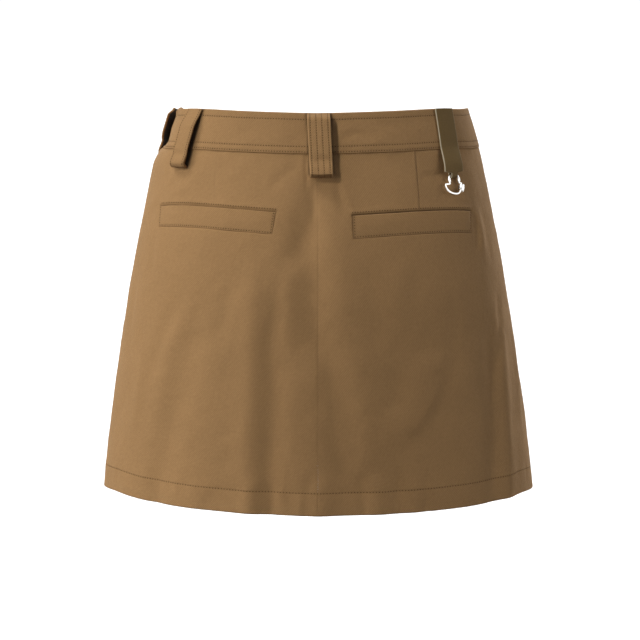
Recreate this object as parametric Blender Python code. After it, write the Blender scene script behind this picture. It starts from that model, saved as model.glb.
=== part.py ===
"""A short A-line golf skort of cotton twill, filled out as if worn, with its inner shorts.

Units are metres, +Z is up, the front faces -Y and the back faces +Y. The origin is in the middle
of the waist, half way down the waistband. A place on the cloth is given by its bearing round the
body and its drop below the waist edge. Bearings are in degrees: 0 is the centre back, 90 the
wearer's left side (+X), 180 the centre front, and negative bearings are on the wearer's right.
"""

import math

import bmesh
import bpy
import numpy as np
from mathutils import Matrix

# Driving sizes
BAND_HEIGHT = 0.035
SIDE_LENGTH = 0.3435
CLOTH = 0.0012
HEM_CLOTH = 0.0022
HEM_DEPTH = 0.021
BAND_CLOTH = 0.0024
BAND_PROUD = 0.0008
SEAM_GAP = 0.0003
WAIST_Z = 0.019
HEM_Z = WAIST_Z - SIDE_LENGTH
HEM_LEAN = 0.0010

# Plan sections of the outer face. The level is measured down from the side of the waist edge.
SECTION_COLUMNS = ("level", "half_width", "back_depth", "front_depth", "fullness")
SECTIONS = (
    (-0.010, 0.1300, 0.0915, 0.0985, 2.12),
    (0.000, 0.1332, 0.0940, 0.1000, 2.12),
    (0.038, 0.1445, 0.1055, 0.1065, 2.12),
    (0.085, 0.1548, 0.1205, 0.1150, 2.12),
    (0.145, 0.1665, 0.1325, 0.1215, 2.10),
    (0.200, 0.1754, 0.1375, 0.1270, 2.06),
    (0.260, 0.1846, 0.1400, 0.1330, 2.00),
    (0.343, 0.1942, 0.1420, 0.1410, 1.96),
    (0.365, 0.1965, 0.1425, 0.1430, 1.96),
)

# Rise of the waist edge and of the hem, above those of the side of the waist and the hem. The hem
# also leans: it is HEM_LEAN higher at the wearer's left side and as much lower at the right.
EDGE_COLUMNS = ("bearing", "waist_rise", "hem_rise")
EDGES = (
    (0.0, 0.0021, 0.0000),
    (25.0, 0.0032, 0.0012),
    (50.0, 0.0038, 0.0028),
    (70.0, 0.0018, 0.0048),
    (90.0, 0.0003, 0.0022),
    (120.0, -0.0090, 0.0040),
    (150.0, -0.0160, 0.0015),
    (180.0, -0.0190, 0.0000),
)

# Largest folds: each runs from its top to its foot, is this wide to either side and this high.
# A trough has a height below zero. One whose foot is below the hem runs out through it. A fold
# rises over the first FOLD_END of its length and dies away over the last.
FOLD_END = 0.25
FOLD_COLUMNS = ("top_bearing", "top_drop", "foot_bearing", "foot_drop", "half_width", "height")
FOLDS = (
    # the waist dips in behind the belt loop that stands out on the wearer's left
    (88.0, -0.030, 88.0, 0.051, 0.0400, -0.0050),
    (88.0, -0.006, 88.0, 0.038, 0.0400, -0.0088),
    # back, as the photograph shows them
    (4.9, 0.050, 8.5, 0.140, 0.0100, -0.0024),
    (-0.5, 0.050, -18.0, 0.330, 0.0160, 0.0022),
    (1.0, 0.070, 1.5, 0.230, 0.0130, -0.0026),
    (12.6, 0.115, 13.2, 0.420, 0.0110, -0.0024),
    (18.4, 0.110, 17.6, 0.420, 0.0120, 0.0025),
    (36.3, 0.150, 51.0, 0.400, 0.0150, -0.0022),
    (1.4, 0.150, -12.0, 0.430, 0.0110, -0.0016),
    (-36.6, 0.200, -22.3, 0.290, 0.0130, 0.0018),
    (-59.8, 0.170, -52.0, 0.400, 0.0120, -0.0020),
    (-67.0, 0.160, -59.0, 0.430, 0.0130, 0.0024),
    # front and sides, alike but in other places
    (100.0, 0.110, 108.0, 0.430, 0.0140, 0.0022),
    (121.0, 0.130, 128.0, 0.430, 0.0150, -0.0024),
    (140.0, 0.090, 151.0, 0.420, 0.0160, 0.0024),
    (166.0, 0.150, 160.0, 0.430, 0.0130, -0.0020),
    (-105.0, 0.120, -99.0, 0.430, 0.0140, -0.0020),
    (-124.0, 0.100, -133.0, 0.430, 0.0150, 0.0024),
    (-152.0, 0.120, -147.0, 0.420, 0.0140, -0.0022),
    (-171.0, 0.140, -164.0, 0.430, 0.0150, 0.0018),
)

# Grid of each panel. Its rows lie closer together near the waist.
PANEL_COLUMNS = 18
PANEL_ROWS = 14
ROW_CLOSENESS = 1.3

# Colours
TWILL_TAN = (0.26, 0.165, 0.085, 1.0)
STRAP_OLIVE = (0.16, 0.11, 0.06, 1.0)
JERSEY_TAN = (0.23, 0.15, 0.08, 1.0)
BUTTON_BROWN = (0.10, 0.06, 0.035, 1.0)
NICKEL = (0.80, 0.80, 0.78, 1.0)

# Front closing: the wearer's right side laps over the left, down to the foot of the fly. The lap
# narrows over FLY_END and settles level with the seam over FLY_SETTLE. Near the centre front a
# turn is made a length by FRONT_RADIUS.
FRONT_RADIUS = 0.105
FLY_LAP = 0.004
FLY_LIFT = 0.0017
FLY_FOOT = 0.165
FLY_END = 0.012
FLY_SETTLE = 0.020
FLY_RUN_IN = 0.030

# Waistband: lifts of its outer and inner faces down its height, with its top edge rounded
BAND_ROUND = 0.0006
BAND_COLUMNS = ("drop", "outer", "inner")
BAND_ROWS = (
    (0.0000, BAND_PROUD - BAND_ROUND, BAND_PROUD - BAND_CLOTH + BAND_ROUND),
    (0.0009, BAND_PROUD, BAND_PROUD - BAND_CLOTH),
    (0.0130, BAND_PROUD, BAND_PROUD - BAND_CLOTH),
    (0.0260, BAND_PROUD, BAND_PROUD - BAND_CLOTH),
    (BAND_HEIGHT, BAND_PROUD, BAND_PROUD - BAND_CLOTH),
)
BAND_LAP = 0.012
BAND_LIFT = BAND_CLOTH + SEAM_GAP * 1.5
BAND_RUN_IN = 0.034

# Belt loops, by the bearing of their middle. Each bows out from what it lies on by its stand_off,
# over these shares of its length: it has risen by rise, falls back over fall and lies flat from end.
# One side stands off more than the other by twice its tilt, as a share of the bow. The foot is
# turned under, so it is thicker.
LOOP_COLUMNS = (
    "top_bearing", "foot_bearing", "width", "length", "stand_off", "rise", "fall", "end", "tilt",
)
LOOPS = {
    "loop_back": (-0.2, -1.2, 0.0196, 0.0542, 0.0066, 0.13, 0.22, 1.00, 0.0),
    "loop_back_left": (52.2, 53.2, 0.0172, 0.0508, 0.0036, 0.12, 0.26, 1.00, 0.0),
    "loop_front_left": (110.0, 107.0, 0.0180, 0.0570, 0.0036, 0.06, 0.40, 0.78, 0.50),
    "loop_front_right": (-117.0, -115.0, 0.0180, 0.0570, 0.0024, 0.12, 0.26, 0.90, 0.0),
}
LOOP_CLOTH = 0.0018
LOOP_FOOT_CLOTH = 0.0030
LOOP_FOOT = 0.004
LOOP_FOOT_STEP = 0.008
LOOP_SHARES = (0.0, 0.03, 0.07, 0.13, 0.22, 0.34, 0.46, 0.58, 0.68, 0.77, 0.85, 0.92, 1.0)
LOOP_REST = 0.0004
STRIP_ACROSS = np.linspace(-1.0, 1.0, 5)

# Welts of the two back pockets: bearings and drops of their corners
WELT_COLUMNS = (
    "inner_top_bearing", "outer_top_bearing", "inner_foot_bearing", "outer_foot_bearing",
    "inner_top", "outer_top", "inner_foot", "outer_foot",
)
WELTS = {
    "welt_left": (13.6, 62.2, 14.4, 60.6, 0.0846, 0.0848, 0.1032, 0.1028),
    "welt_right": (-11.0, -58.2, -11.0, -56.6, 0.0872, 0.0890, 0.1068, 0.1076),
}
WELT_REST = 0.0005
WELT_ARCH = 0.0018
WELT_STEPS = 14
WELT_ROW_COLUMNS = ("down", "cloth")
WELT_ROWS = ((0.00, 0.0007), (0.05, 0.0011), (0.95, 0.0011), (1.00, 0.0007))

# Ring and the strap that holds it
WIRE = 0.0008
POST_WIRE = 0.00125
BAR_CLEARANCE = 0.00035
STRAP_CLOTH = 0.0012
STRAP_WIDTH = 0.0215
NECK_WIDTH = 0.0070
STRAP_TOP_BEARING = -54.2
STRAP_FOOT_BEARING = -50.2
BAR_DROP = 0.0584
NECK_TOP = BAR_DROP - 0.0027
BACK_TOP = 0.0410
FRONT_DROPS = (0.0003, 0.011, 0.022, 0.031, 0.036, 0.041, 0.046, 0.050, NECK_TOP - 0.0008)
FRONT_RISE_TOP = 0.031
FRONT_RISE = 0.020
FOLD_RADIUS = WIRE + BAR_CLEARANCE + STRAP_CLOTH / 2
BAR_LIFT = LOOP_REST + STRAP_CLOTH / 2 + FOLD_RADIUS
FOLD_STEPS = 8

# Outline of the ring: half sizes across it, and depths below the middle of its bar
BAR_HALF = 0.0057
CORNER = 0.0016
POST_FOOT = 0.0060
SHOULDER = 0.0010
BOW_HALF = 0.0114
BOW_TOP = 0.0080
RING_DEPTH = 0.0160
BOW_STEPS = 22
BARREL_INSET = 0.0036
# Barrel on the bow: places along the bow, and the barrel's radius there
BARREL_COLUMNS = ("share", "radius")
BARREL_ROWS = (
    (0.742, 0.0009),
    (0.747, 0.0020),
    (0.765, 0.0026),
    (0.860, 0.0026),
    (0.955, 0.0026),
    (0.975, 0.0020),
    (0.980, 0.0009),
)

# Waist button
BUTTON_DROP = 0.0170
BUTTON_REST = BAND_PROUD + BAND_LIFT + 0.0004
BUTTON_SIDES = 28
BUTTON_COLUMNS = ("radius", "height")
BUTTON_PROFILE = (
    (0.0030, 0.0000),
    (0.0078, 0.0000),
    (0.0085, 0.0010),
    (0.0083, 0.0024),
    (0.0074, 0.0030),
    (0.0064, 0.0027),
    (0.0056, 0.0018),
    (0.0030, 0.0016),
)
HOLE_RADIUS = 0.0008
HOLE_OFFSET = 0.0019
HOLE_LENGTH = 0.008
HOLE_SIDES = 10

# Inner shorts, of thin jersey, sewn in below the band. Sections of the body above the legs.
JERSEY = 0.0010
SHORTS_TOP = BAND_HEIGHT + 0.0012
SHORTS_LIFT = -0.0021
BODY_COLUMNS = ("level", "half_width", "back_depth", "front_depth")
BODY = (
    (0.040, 0.1352, 0.1010, 0.0990),
    (0.085, 0.1485, 0.1120, 0.1040),
    (0.145, 0.1580, 0.1190, 0.1030),
    (0.215, 0.1590, 0.1130, 0.0950),
)
SEAT_LEVELS = (0.055, 0.085, 0.120, 0.155, 0.188)
CROTCH_LEVEL = 0.215
CROTCH_DIP = 0.022
LEG_HEM_LEVEL = 0.300
LEG_CENTRE = 0.0860
LEG_FORWARD = -0.0030
LEG_HALF_WIDTH = 0.0745
LEG_HALF_DEPTH = 0.0820
LEG_ROWS = 6
OUTER_STEPS = 22
INNER_STEPS = 8
INNER_ARC = 70.0


def column(table, names, name):
    """One named column of a table, as an array."""
    return np.array([row[names.index(name)] for row in table])


def named(names, row):
    """One row of a table, by the names of its columns."""
    return dict(zip(names, row, strict=True))


def curve_through(x, knots, values):
    """Smooth curve through a table's points, read at x."""
    slopes = np.gradient(values, knots)
    i = np.clip(np.searchsorted(knots, x) - 1, 0, len(knots) - 2)
    span = knots[i + 1] - knots[i]
    u = np.clip((x - knots[i]) / span, 0.0, 1.0)
    rise = u * u * (3 - 2 * u)
    start_bend = u * (1 - u) ** 2 * span * slopes[i]
    end_bend = u * u * (u - 1) * span * slopes[i + 1]
    return values[i] + (values[i + 1] - values[i]) * rise + start_bend + end_bend


def ease(u):
    """0 below 0, 1 above 1, and a smooth step between."""
    u = np.clip(u, 0.0, 1.0)
    return u * u * (3 - 2 * u)


def turned(bearing):
    """The same bearing between -180 and 180."""
    return (bearing + 180.0) % 360.0 - 180.0


def edge_rise(bearing, name):
    """Rise of the waist edge or the hem at a bearing, the same on both sides."""
    knots = column(EDGES, EDGE_COLUMNS, "bearing")
    return curve_through(np.abs(turned(bearing)), knots, column(EDGES, EDGE_COLUMNS, name))


def waist_height(bearing):
    return WAIST_Z + edge_rise(bearing, "waist_rise")


def hem_drop(bearing):
    """Length of the garment from its waist edge to its hem."""
    lean = HEM_LEAN * np.sin(np.radians(bearing))
    return waist_height(bearing) - HEM_Z - edge_rise(bearing, "hem_rise") - lean


def section(level, name):
    knots = column(SECTIONS, SECTION_COLUMNS, "level")
    return curve_through(level, knots, column(SECTIONS, SECTION_COLUMNS, name))


def fold_height(bearing, drop, radius):
    """How far the folds push the cloth out at a place."""
    total = np.zeros(np.shape(bearing))
    for row in FOLDS:
        fold = named(FOLD_COLUMNS, row)
        length = fold["foot_drop"] - fold["top_drop"]
        turn = fold["foot_bearing"] - fold["top_bearing"]
        along = (drop - fold["top_drop"]) / length
        middle = fold["top_bearing"] + turn * along
        lean = np.radians(turn) * radius / length
        across = np.radians(turned(bearing - middle)) * radius / np.sqrt(1 + lean * lean)
        ends = ease(along / FOLD_END) * ease((1 - along) / FOLD_END)
        total = total + fold["height"] * ends * np.exp(-((across / fold["half_width"]) ** 2))
    return total


def face(bearing, drop):
    """Point of the outer face of the cloth."""
    bearing, drop = np.broadcast_arrays(np.asarray(bearing, float), np.asarray(drop, float))
    z = waist_height(bearing) - drop
    level = WAIST_Z - z
    turn = np.radians(bearing)
    half_width = section(level, "half_width")
    behind = np.cos(turn) >= 0
    depth = np.where(behind, section(level, "back_depth"), section(level, "front_depth"))
    fullness = section(level, "fullness")
    polar = np.arctan2(half_width * np.sin(turn), depth * np.cos(turn))
    side, fore = np.sin(polar), np.cos(polar)
    squareness = np.abs(side / half_width) ** fullness + np.abs(fore / depth) ** fullness
    radius = squareness ** (-1 / fullness)
    out_x, out_y = side / half_width, fore / depth
    out_length = np.hypot(out_x, out_y)
    push = fold_height(bearing, drop, radius)
    x = radius * side + push * out_x / out_length
    y = radius * fore + push * out_y / out_length
    return np.stack([x, y, z], axis=-1)


def unit(vectors):
    return vectors / np.linalg.norm(vectors, axis=-1, keepdims=True)


def outward(bearing, drop):
    """Outward normal of the cloth."""
    turn_step, drop_step = 0.1, 0.0004
    around = face(bearing + turn_step, drop) - face(bearing - turn_step, drop)
    down = face(bearing, drop + drop_step) - face(bearing, drop - drop_step)
    return unit(np.cross(around, down))


def sideways(bearing, drop):
    """Direction along the cloth of a growing bearing, level with the ground."""
    out = outward(bearing, drop)
    return unit(np.array([out[1], -out[0], 0.0]))


def on_cloth(bearing, drop, lift):
    """Point this far outside the outer face of the cloth."""
    bearing, drop, lift = np.broadcast_arrays(*(np.asarray(v, float) for v in (bearing, drop, lift)))
    return face(bearing, drop) + outward(bearing, drop) * lift[..., None]


def degrees_for(length, bearing, drop):
    """The turn that moves a point of the cloth sideways by a length."""
    step = 0.1
    moved = face(bearing + step, drop) - face(bearing - step, drop)
    return length * 2 * step / np.linalg.norm(moved, axis=-1)


def material(name, colour, roughness, metallic=0.0):
    made = bpy.data.materials.get(name)
    if made is None:
        made = bpy.data.materials.new(name)
        made.use_nodes = True
        shader = made.node_tree.nodes["Principled BSDF"]
        shader.inputs["Base Color"].default_value = colour
        shader.inputs["Roughness"].default_value = roughness
        shader.inputs["Metallic"].default_value = metallic
    return made


def twill():
    return material("twill", TWILL_TAN, 0.85)


def add_object(name, mesh_or_curve, finish):
    made = bpy.data.objects.new(name, mesh_or_curve)
    made.data.materials.append(finish)
    bpy.context.scene.collection.objects.link(made)
    return made


def add_mesh(name, points, faces, finish):
    """Object of a closed body, with its faces turned outward."""
    mesh = bpy.data.meshes.new(name)
    body = bmesh.new()
    corners = [body.verts.new(point) for point in points]
    for corner_numbers in faces:
        body.faces.new([corners[n] for n in corner_numbers])
    bmesh.ops.recalc_face_normals(body, faces=body.faces)
    body.to_mesh(mesh)
    body.free()
    mesh.shade_smooth()
    mesh.set_sharp_from_angle(angle=math.radians(40))
    return add_object(name, mesh, finish)


def add_wall(name, outer, inner, finish):
    """Closed wall between an outer and an inner grid of the same rows and columns."""
    rows, columns = outer.shape[:2]
    points = [tuple(point) for grid in (outer, inner) for point in grid.reshape(-1, 3)]

    def number(layer, row, col):
        return (layer * rows + row) * columns + col

    faces = []
    for row in range(rows - 1):
        for col in range(columns - 1):
            corners = ((row, col), (row, col + 1), (row + 1, col + 1), (row + 1, col))
            faces.append([number(0, *corner) for corner in corners])
            faces.append([number(1, *corner) for corner in reversed(corners)])
    rim = [(0, col) for col in range(columns)]
    rim += [(row, columns - 1) for row in range(1, rows)]
    rim += [(rows - 1, col) for col in range(columns - 2, -1, -1)]
    rim += [(row, 0) for row in range(rows - 2, 0, -1)]
    for here, after in zip(rim, rim[1:] + rim[:1]):
        faces.append([number(0, *after), number(0, *here), number(1, *here), number(1, *after)])
    return add_mesh(name, points, faces, finish)


def spread(first, last, share):
    """Values from a first to a last, at these shares of the way, for every row of a grid."""
    first, last = np.asarray(first)[..., None], np.asarray(last)[..., None]
    return first + (last - first) * share


def add_cloth(name, bearings, drops, outer, inner, finish):
    """Wall of cloth over a grid of places, between these lifts of its outer and inner faces."""
    return add_wall(name, on_cloth(bearings, drops, outer), on_cloth(bearings, drops, inner), finish)


def fly_share(drop):
    """How much of the fly's lap is left at a drop: all of it above its foot, none below."""
    return ease((FLY_FOOT - drop) / FLY_END)


def add_panel(name, first, last, laps=False):
    """One skirt panel between two bearings, with its hem turned up inside."""
    share = np.linspace(0.0, 1.0, PANEL_COLUMNS + 1)
    top = BAND_HEIGHT + SEAM_GAP
    foot = hem_drop(spread(first, last, share))
    hem_top = foot - HEM_DEPTH
    downs = np.linspace(0.0, 1.0, PANEL_ROWS + 1) ** ROW_CLOSENESS
    rows = [(top + (hem_top - top) * down, CLOTH) for down in downs]
    rows += [(hem_top + HEM_CLOTH / 2, HEM_CLOTH), (hem_top + HEM_DEPTH / 2, HEM_CLOTH), (foot, HEM_CLOTH)]
    drops = np.array([drop for drop, _ in rows])
    inner = np.array([np.full(len(share), -thickness) for _, thickness in rows])
    outer = np.zeros(inner.shape)
    lap = FLY_LAP * fly_share(drops[:, 0]) if laps else 0.0
    start = first + degrees_for(SEAM_GAP / 2 - lap, first, drops[:, 0])
    end = last - degrees_for(SEAM_GAP / 2, last, drops[:, -1])
    bearings = spread(start, end, share)
    if laps:
        reach = np.radians(bearings - first) * FRONT_RADIUS
        settled = ease((FLY_FOOT + FLY_SETTLE - drops) / FLY_SETTLE)
        raised = FLY_LIFT * ease(1 - reach / FLY_RUN_IN) * settled
        outer, inner = outer + raised, inner + raised
    add_cloth(name, bearings, drops, outer, inner, twill())


def build_panels():
    add_panel("back_left", 0.0, 90.0)
    add_panel("back_right", -90.0, 0.0)
    add_panel("front_left", 90.0, 180.0)
    add_panel("front_right", -180.0, -90.0, laps=True)


def add_band(name, first, last, columns, over=False, under=False):
    """A length of waistband. One end may lap over or under the other band at the centre front."""
    share = np.linspace(0.0, 1.0, columns + 1)
    drops = column(BAND_ROWS, BAND_COLUMNS, "drop")
    start = first + degrees_for(-BAND_LAP if over else SEAM_GAP / 2, first, drops)
    end = last + degrees_for(BAND_LAP if under else -SEAM_GAP / 2, last, drops)
    bearings = spread(start, end, share)
    drops = np.broadcast_to(drops[:, None], bearings.shape)
    raised = np.zeros(bearings.shape)
    if over:
        reach = np.radians(bearings - first) * FRONT_RADIUS - BAND_LAP
        raised = BAND_LIFT * ease(1 - reach / BAND_RUN_IN)
    outer = column(BAND_ROWS, BAND_COLUMNS, "outer")[:, None] + raised
    inner = column(BAND_ROWS, BAND_COLUMNS, "inner")[:, None] + raised
    add_cloth(name, bearings, drops, outer, inner, twill())


def build_band():
    add_band("band_back", -90.0, 90.0, 40)
    add_band("band_front_left", 90.0, 180.0, 22, under=True)
    add_band("band_front_right", -180.0, -90.0, 22, over=True)


def rest_lift(drop):
    """Lift at which a strip lies on the band, and below it on the panel."""
    below_band = ease((drop - BAND_HEIGHT - 0.001) / 0.006)
    return LOOP_REST + BAND_PROUD * (1 - below_band)


def strip_bearings(top_bearing, foot_bearing, length, half_width, drop):
    """Bearings of a strip's points across it, from its middle line and its width."""
    middle = top_bearing + (foot_bearing - top_bearing) * drop / length
    return middle + degrees_for(half_width, middle, drop) * STRIP_ACROSS


def strip_faces(middle, cloth):
    """Both faces of a strip, from the drops and lifts of its middle layer, row by row down it."""
    along = unit(np.gradient(middle, axis=0))
    side = np.stack([-along[..., 1], along[..., 0]], axis=-1) * cloth / 2
    return middle + side, middle - side


def add_strip(name, top_bearing, foot_bearing, length, half_width, faces, finish):
    """Wall of a strip between the drops and lifts of its two faces."""
    grids = []
    for points in faces:
        drop, lift = points[..., 0], points[..., 1]
        bearings = strip_bearings(top_bearing, foot_bearing, length, half_width, drop)
        grids.append(on_cloth(bearings, drop, lift))
    add_wall(name, *grids, finish)


def add_loop(name, loop):
    """A belt loop: a strip that stands off the band, sewn at the waist edge and below the band."""
    length = loop["length"]
    share = np.array(LOOP_SHARES)[:, None]
    drop = LOOP_REST + length * share
    bow = loop["stand_off"] * ease(share / loop["rise"]) * ease((loop["end"] - share) / loop["fall"])
    foot = ease((drop - length + LOOP_FOOT + LOOP_FOOT_STEP) / LOOP_FOOT_STEP)
    cloth = LOOP_CLOTH + (LOOP_FOOT_CLOTH - LOOP_CLOTH) * foot
    lift = rest_lift(drop) + cloth / 2 + bow * (1 - loop["tilt"] * STRIP_ACROSS)
    middle = np.stack(np.broadcast_arrays(drop, lift), axis=-1)
    faces = strip_faces(middle, cloth[..., None])
    add_strip(name, loop["top_bearing"], loop["foot_bearing"], length, loop["width"] / 2, faces, twill())


def build_loops():
    for name, row in LOOPS.items():
        add_loop(name, named(LOOP_COLUMNS, row))


def add_welt(name, place):
    """A folded band of cloth that lies on the panel over the mouth of a pocket."""
    share = np.linspace(0.0, 1.0, WELT_STEPS + 1)
    down = column(WELT_ROWS, WELT_ROW_COLUMNS, "down")[:, None]
    cloth = column(WELT_ROWS, WELT_ROW_COLUMNS, "cloth")[:, None]
    top_bearing = spread(place["inner_top_bearing"], place["outer_top_bearing"], share)
    foot_bearing = spread(place["inner_foot_bearing"], place["outer_foot_bearing"], share)
    top = spread(place["inner_top"], place["outer_top"], share)
    foot = spread(place["inner_foot"], place["outer_foot"], share)
    bearings = top_bearing + (foot_bearing - top_bearing) * down
    drops = top + (foot - top) * down - WELT_ARCH * np.sin(math.pi * share)
    inner = np.full(drops.shape, WELT_REST)
    add_cloth(name, bearings, drops, inner + cloth, inner, twill())


def build_welts():
    for name, row in WELTS.items():
        add_welt(name, named(WELT_COLUMNS, row))


def strap_path():
    """Middle line of the strap: down the front, round the ring's bar and up behind.

    Each row is drop, lift and half width.
    """
    rest = BAND_PROUD + LOOP_REST + STRAP_CLOTH / 2
    front_lift = BAR_LIFT + FOLD_RADIUS
    back_lift = BAR_LIFT - FOLD_RADIUS
    wide, narrow = STRAP_WIDTH / 2, NECK_WIDTH / 2
    rows = []
    for drop in FRONT_DROPS:
        rise = ease((drop - FRONT_RISE_TOP) / FRONT_RISE)
        rows.append((drop, rest + (front_lift - rest) * rise, wide))
    rows.append((NECK_TOP, front_lift, narrow + 0.001))
    rows.append((NECK_TOP + 0.001, front_lift, narrow))
    for turn in np.linspace(0.0, math.pi, FOLD_STEPS + 1):
        drop = BAR_DROP + FOLD_RADIUS * math.sin(turn)
        rows.append((drop, BAR_LIFT + FOLD_RADIUS * math.cos(turn), narrow))
    for drop in (BAR_DROP - 0.004, BAR_DROP - 0.009, BACK_TOP):
        rows.append((drop, back_lift, narrow))
    return np.array(rows, float)


def build_strap():
    """Strap: a wide flat tape whose narrow end is folded round the ring's bar."""
    path = strap_path()[:, None]
    faces = strip_faces(path[..., :2], STRAP_CLOTH)
    tape = material("strap_tape", STRAP_OLIVE, 0.6)
    add_strip("strap", STRAP_TOP_BEARING, STRAP_FOOT_BEARING, BAR_DROP, path[..., 2], faces, tape)


def arc(centre_across, centre_down, radius, start, end, steps):
    """Points of an arc, with its angles from across towards down, in degrees."""
    turns = np.radians(np.linspace(start, end, steps + 1))
    return [(centre_across + radius * math.cos(t), centre_down + radius * math.sin(t)) for t in turns]


def ring_side(bow_half):
    """One side of the ring's wire, from the middle of its bar to the top of the bow.

    Each row is across, down and wire radius.
    """
    post = BAR_HALF
    rows = [(0.0, 0.0, WIRE), (post * 0.5, 0.0, WIRE)]
    rows += [(*point, WIRE) for point in arc(post - CORNER, CORNER, CORNER, -90, 0, 4)]
    rows += [(post, CORNER + 0.0004, POST_WIRE), (post, POST_FOOT - 0.0010, POST_WIRE)]
    rows += [(post, POST_FOOT - 0.0007, WIRE)]
    rows += [(*point, WIRE) for point in arc(post + SHOULDER, POST_FOOT, SHOULDER, 180, 90, 3)]
    bend = POST_FOOT + 2 * SHOULDER
    rows += [(*point, WIRE) for point in arc(bow_half - SHOULDER, bend, SHOULDER, -90, 0, 3)]
    return rows


def bow_point(share, bow_half):
    """Point of the bow, from one end of it at share 0 to the other at share 1."""
    turn = math.pi * share
    return bow_half * math.cos(turn), BOW_TOP + (RING_DEPTH - BOW_TOP) * math.sin(turn)


def ring_rows():
    """The ring's closed wire, with its barrel on the wearer's right."""
    narrow = BOW_HALF - BARREL_INSET
    shares = column(BARREL_ROWS, BARREL_COLUMNS, "share")
    steps = np.arange(1, BOW_STEPS) / BOW_STEPS
    plain = [(share, WIRE) for share in steps if not shares[0] <= share <= shares[-1]]
    bow = []
    for share, radius in sorted(plain + list(BARREL_ROWS)):
        half = BOW_HALF if share < 0.5 else narrow
        bow.append((*bow_point(share, half), radius))
    right = [(-across, down, radius) for across, down, radius in reversed(ring_side(narrow)[1:])]
    return ring_side(BOW_HALF) + bow + right


def frame_at(bearing, drop, lift):
    """Matrix of a place on the cloth: X sideways, Y down the cloth and Z outward."""
    out, across = outward(bearing, drop), sideways(bearing, drop)
    down = np.cross(out, across)
    matrix = Matrix.Identity(4)
    for axis, direction in enumerate((across, down, out, face(bearing, drop) + out * lift)):
        for row in range(3):
            matrix[row][axis] = direction[row]
    return matrix


def build_ring():
    """Ring of bent wire. Its origin is on its bar, with the bar along its own X."""
    wire = bpy.data.curves.new("ring", "CURVE")
    wire.dimensions = "3D"
    wire.bevel_depth = WIRE
    wire.bevel_resolution = 2
    rows = ring_rows()
    spline = wire.splines.new("POLY")
    spline.use_cyclic_u = True
    spline.use_smooth = True
    spline.points.add(len(rows) - 1)
    for point, (across, down, radius) in zip(spline.points, rows):
        point.co = (across, down, 0.0, 1.0)
        point.radius = radius / WIRE
    ring = add_object("ring", wire, material("nickel", NICKEL, 0.2, metallic=1.0))
    ring.matrix_world = frame_at(STRAP_FOOT_BEARING, BAR_DROP, BAR_LIFT)


def build_button():
    """Round button with a raised rim and four sewing holes."""
    mesh = bpy.data.meshes.new("button")
    body = bmesh.new()
    rings = []
    turns = [2 * math.pi * side / BUTTON_SIDES for side in range(BUTTON_SIDES)]
    for row in BUTTON_PROFILE:
        radius, height = row[BUTTON_COLUMNS.index("radius")], row[BUTTON_COLUMNS.index("height")]
        rings.append([body.verts.new((radius * math.cos(t), radius * math.sin(t), height)) for t in turns])
    for lower, upper in zip(rings, rings[1:]):
        for side in range(BUTTON_SIDES):
            after = (side + 1) % BUTTON_SIDES
            body.faces.new((lower[side], lower[after], upper[after], upper[side]))
    body.faces.new(reversed(rings[0]))
    body.faces.new(rings[-1])
    bmesh.ops.recalc_face_normals(body, faces=body.faces)
    body.to_mesh(mesh)
    body.free()
    mesh.shade_smooth()
    mesh.set_sharp_from_angle(angle=math.radians(35))
    button = add_object("button", mesh, material("button", BUTTON_BROWN, 0.45))
    button.matrix_world = frame_at(180.0, BUTTON_DROP, BUTTON_REST)
    add_button_holes(button)


def add_button_holes(button):
    """Cut four holes through the button with one cutter of four pins."""
    mesh = bpy.data.meshes.new("button_holes")
    pins = bmesh.new()
    for across, down in ((-1, -1), (1, -1), (1, 1), (-1, 1)):
        place = Matrix.Translation((across * HOLE_OFFSET, down * HOLE_OFFSET, 0.0))
        bmesh.ops.create_cone(
            pins, cap_ends=True, segments=HOLE_SIDES, radius1=HOLE_RADIUS, radius2=HOLE_RADIUS,
            depth=HOLE_LENGTH, matrix=place,
        )
    pins.to_mesh(mesh)
    pins.free()
    cutter = bpy.data.objects.new("button_holes", mesh)
    bpy.context.scene.collection.objects.link(cutter)
    cutter.matrix_world = button.matrix_world
    cutter.hide_render = True
    cutter.display_type = "WIRE"
    cut = button.modifiers.new("holes", "BOOLEAN")
    cut.operation = "DIFFERENCE"
    cut.solver = "EXACT"
    cut.object = cutter


def body_point(bearing, level):
    """Point of the shorts round the seat and the front."""
    knots = column(BODY, BODY_COLUMNS, "level")
    turn = np.radians(bearing)
    half_width = curve_through(level, knots, column(BODY, BODY_COLUMNS, "half_width"))
    back = curve_through(level, knots, column(BODY, BODY_COLUMNS, "back_depth"))
    front = curve_through(level, knots, column(BODY, BODY_COLUMNS, "front_depth"))
    depth = np.where(np.cos(turn) >= 0, back, front)
    height = np.broadcast_to(WAIST_Z - level, turn.shape)
    return np.stack([half_width * np.sin(turn), depth * np.cos(turn), height], axis=-1)


def leg_point(turn, level):
    """Point of a leg of the shorts: its turn is 0 at the back and 90 on its outer side."""
    turn = np.radians(turn)
    x = LEG_CENTRE + LEG_HALF_WIDTH * np.sin(turn)
    y = LEG_FORWARD + LEG_HALF_DEPTH * np.cos(turn)
    return np.stack([x, y, np.broadcast_to(WAIST_Z - level, turn.shape)], axis=-1)


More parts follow.
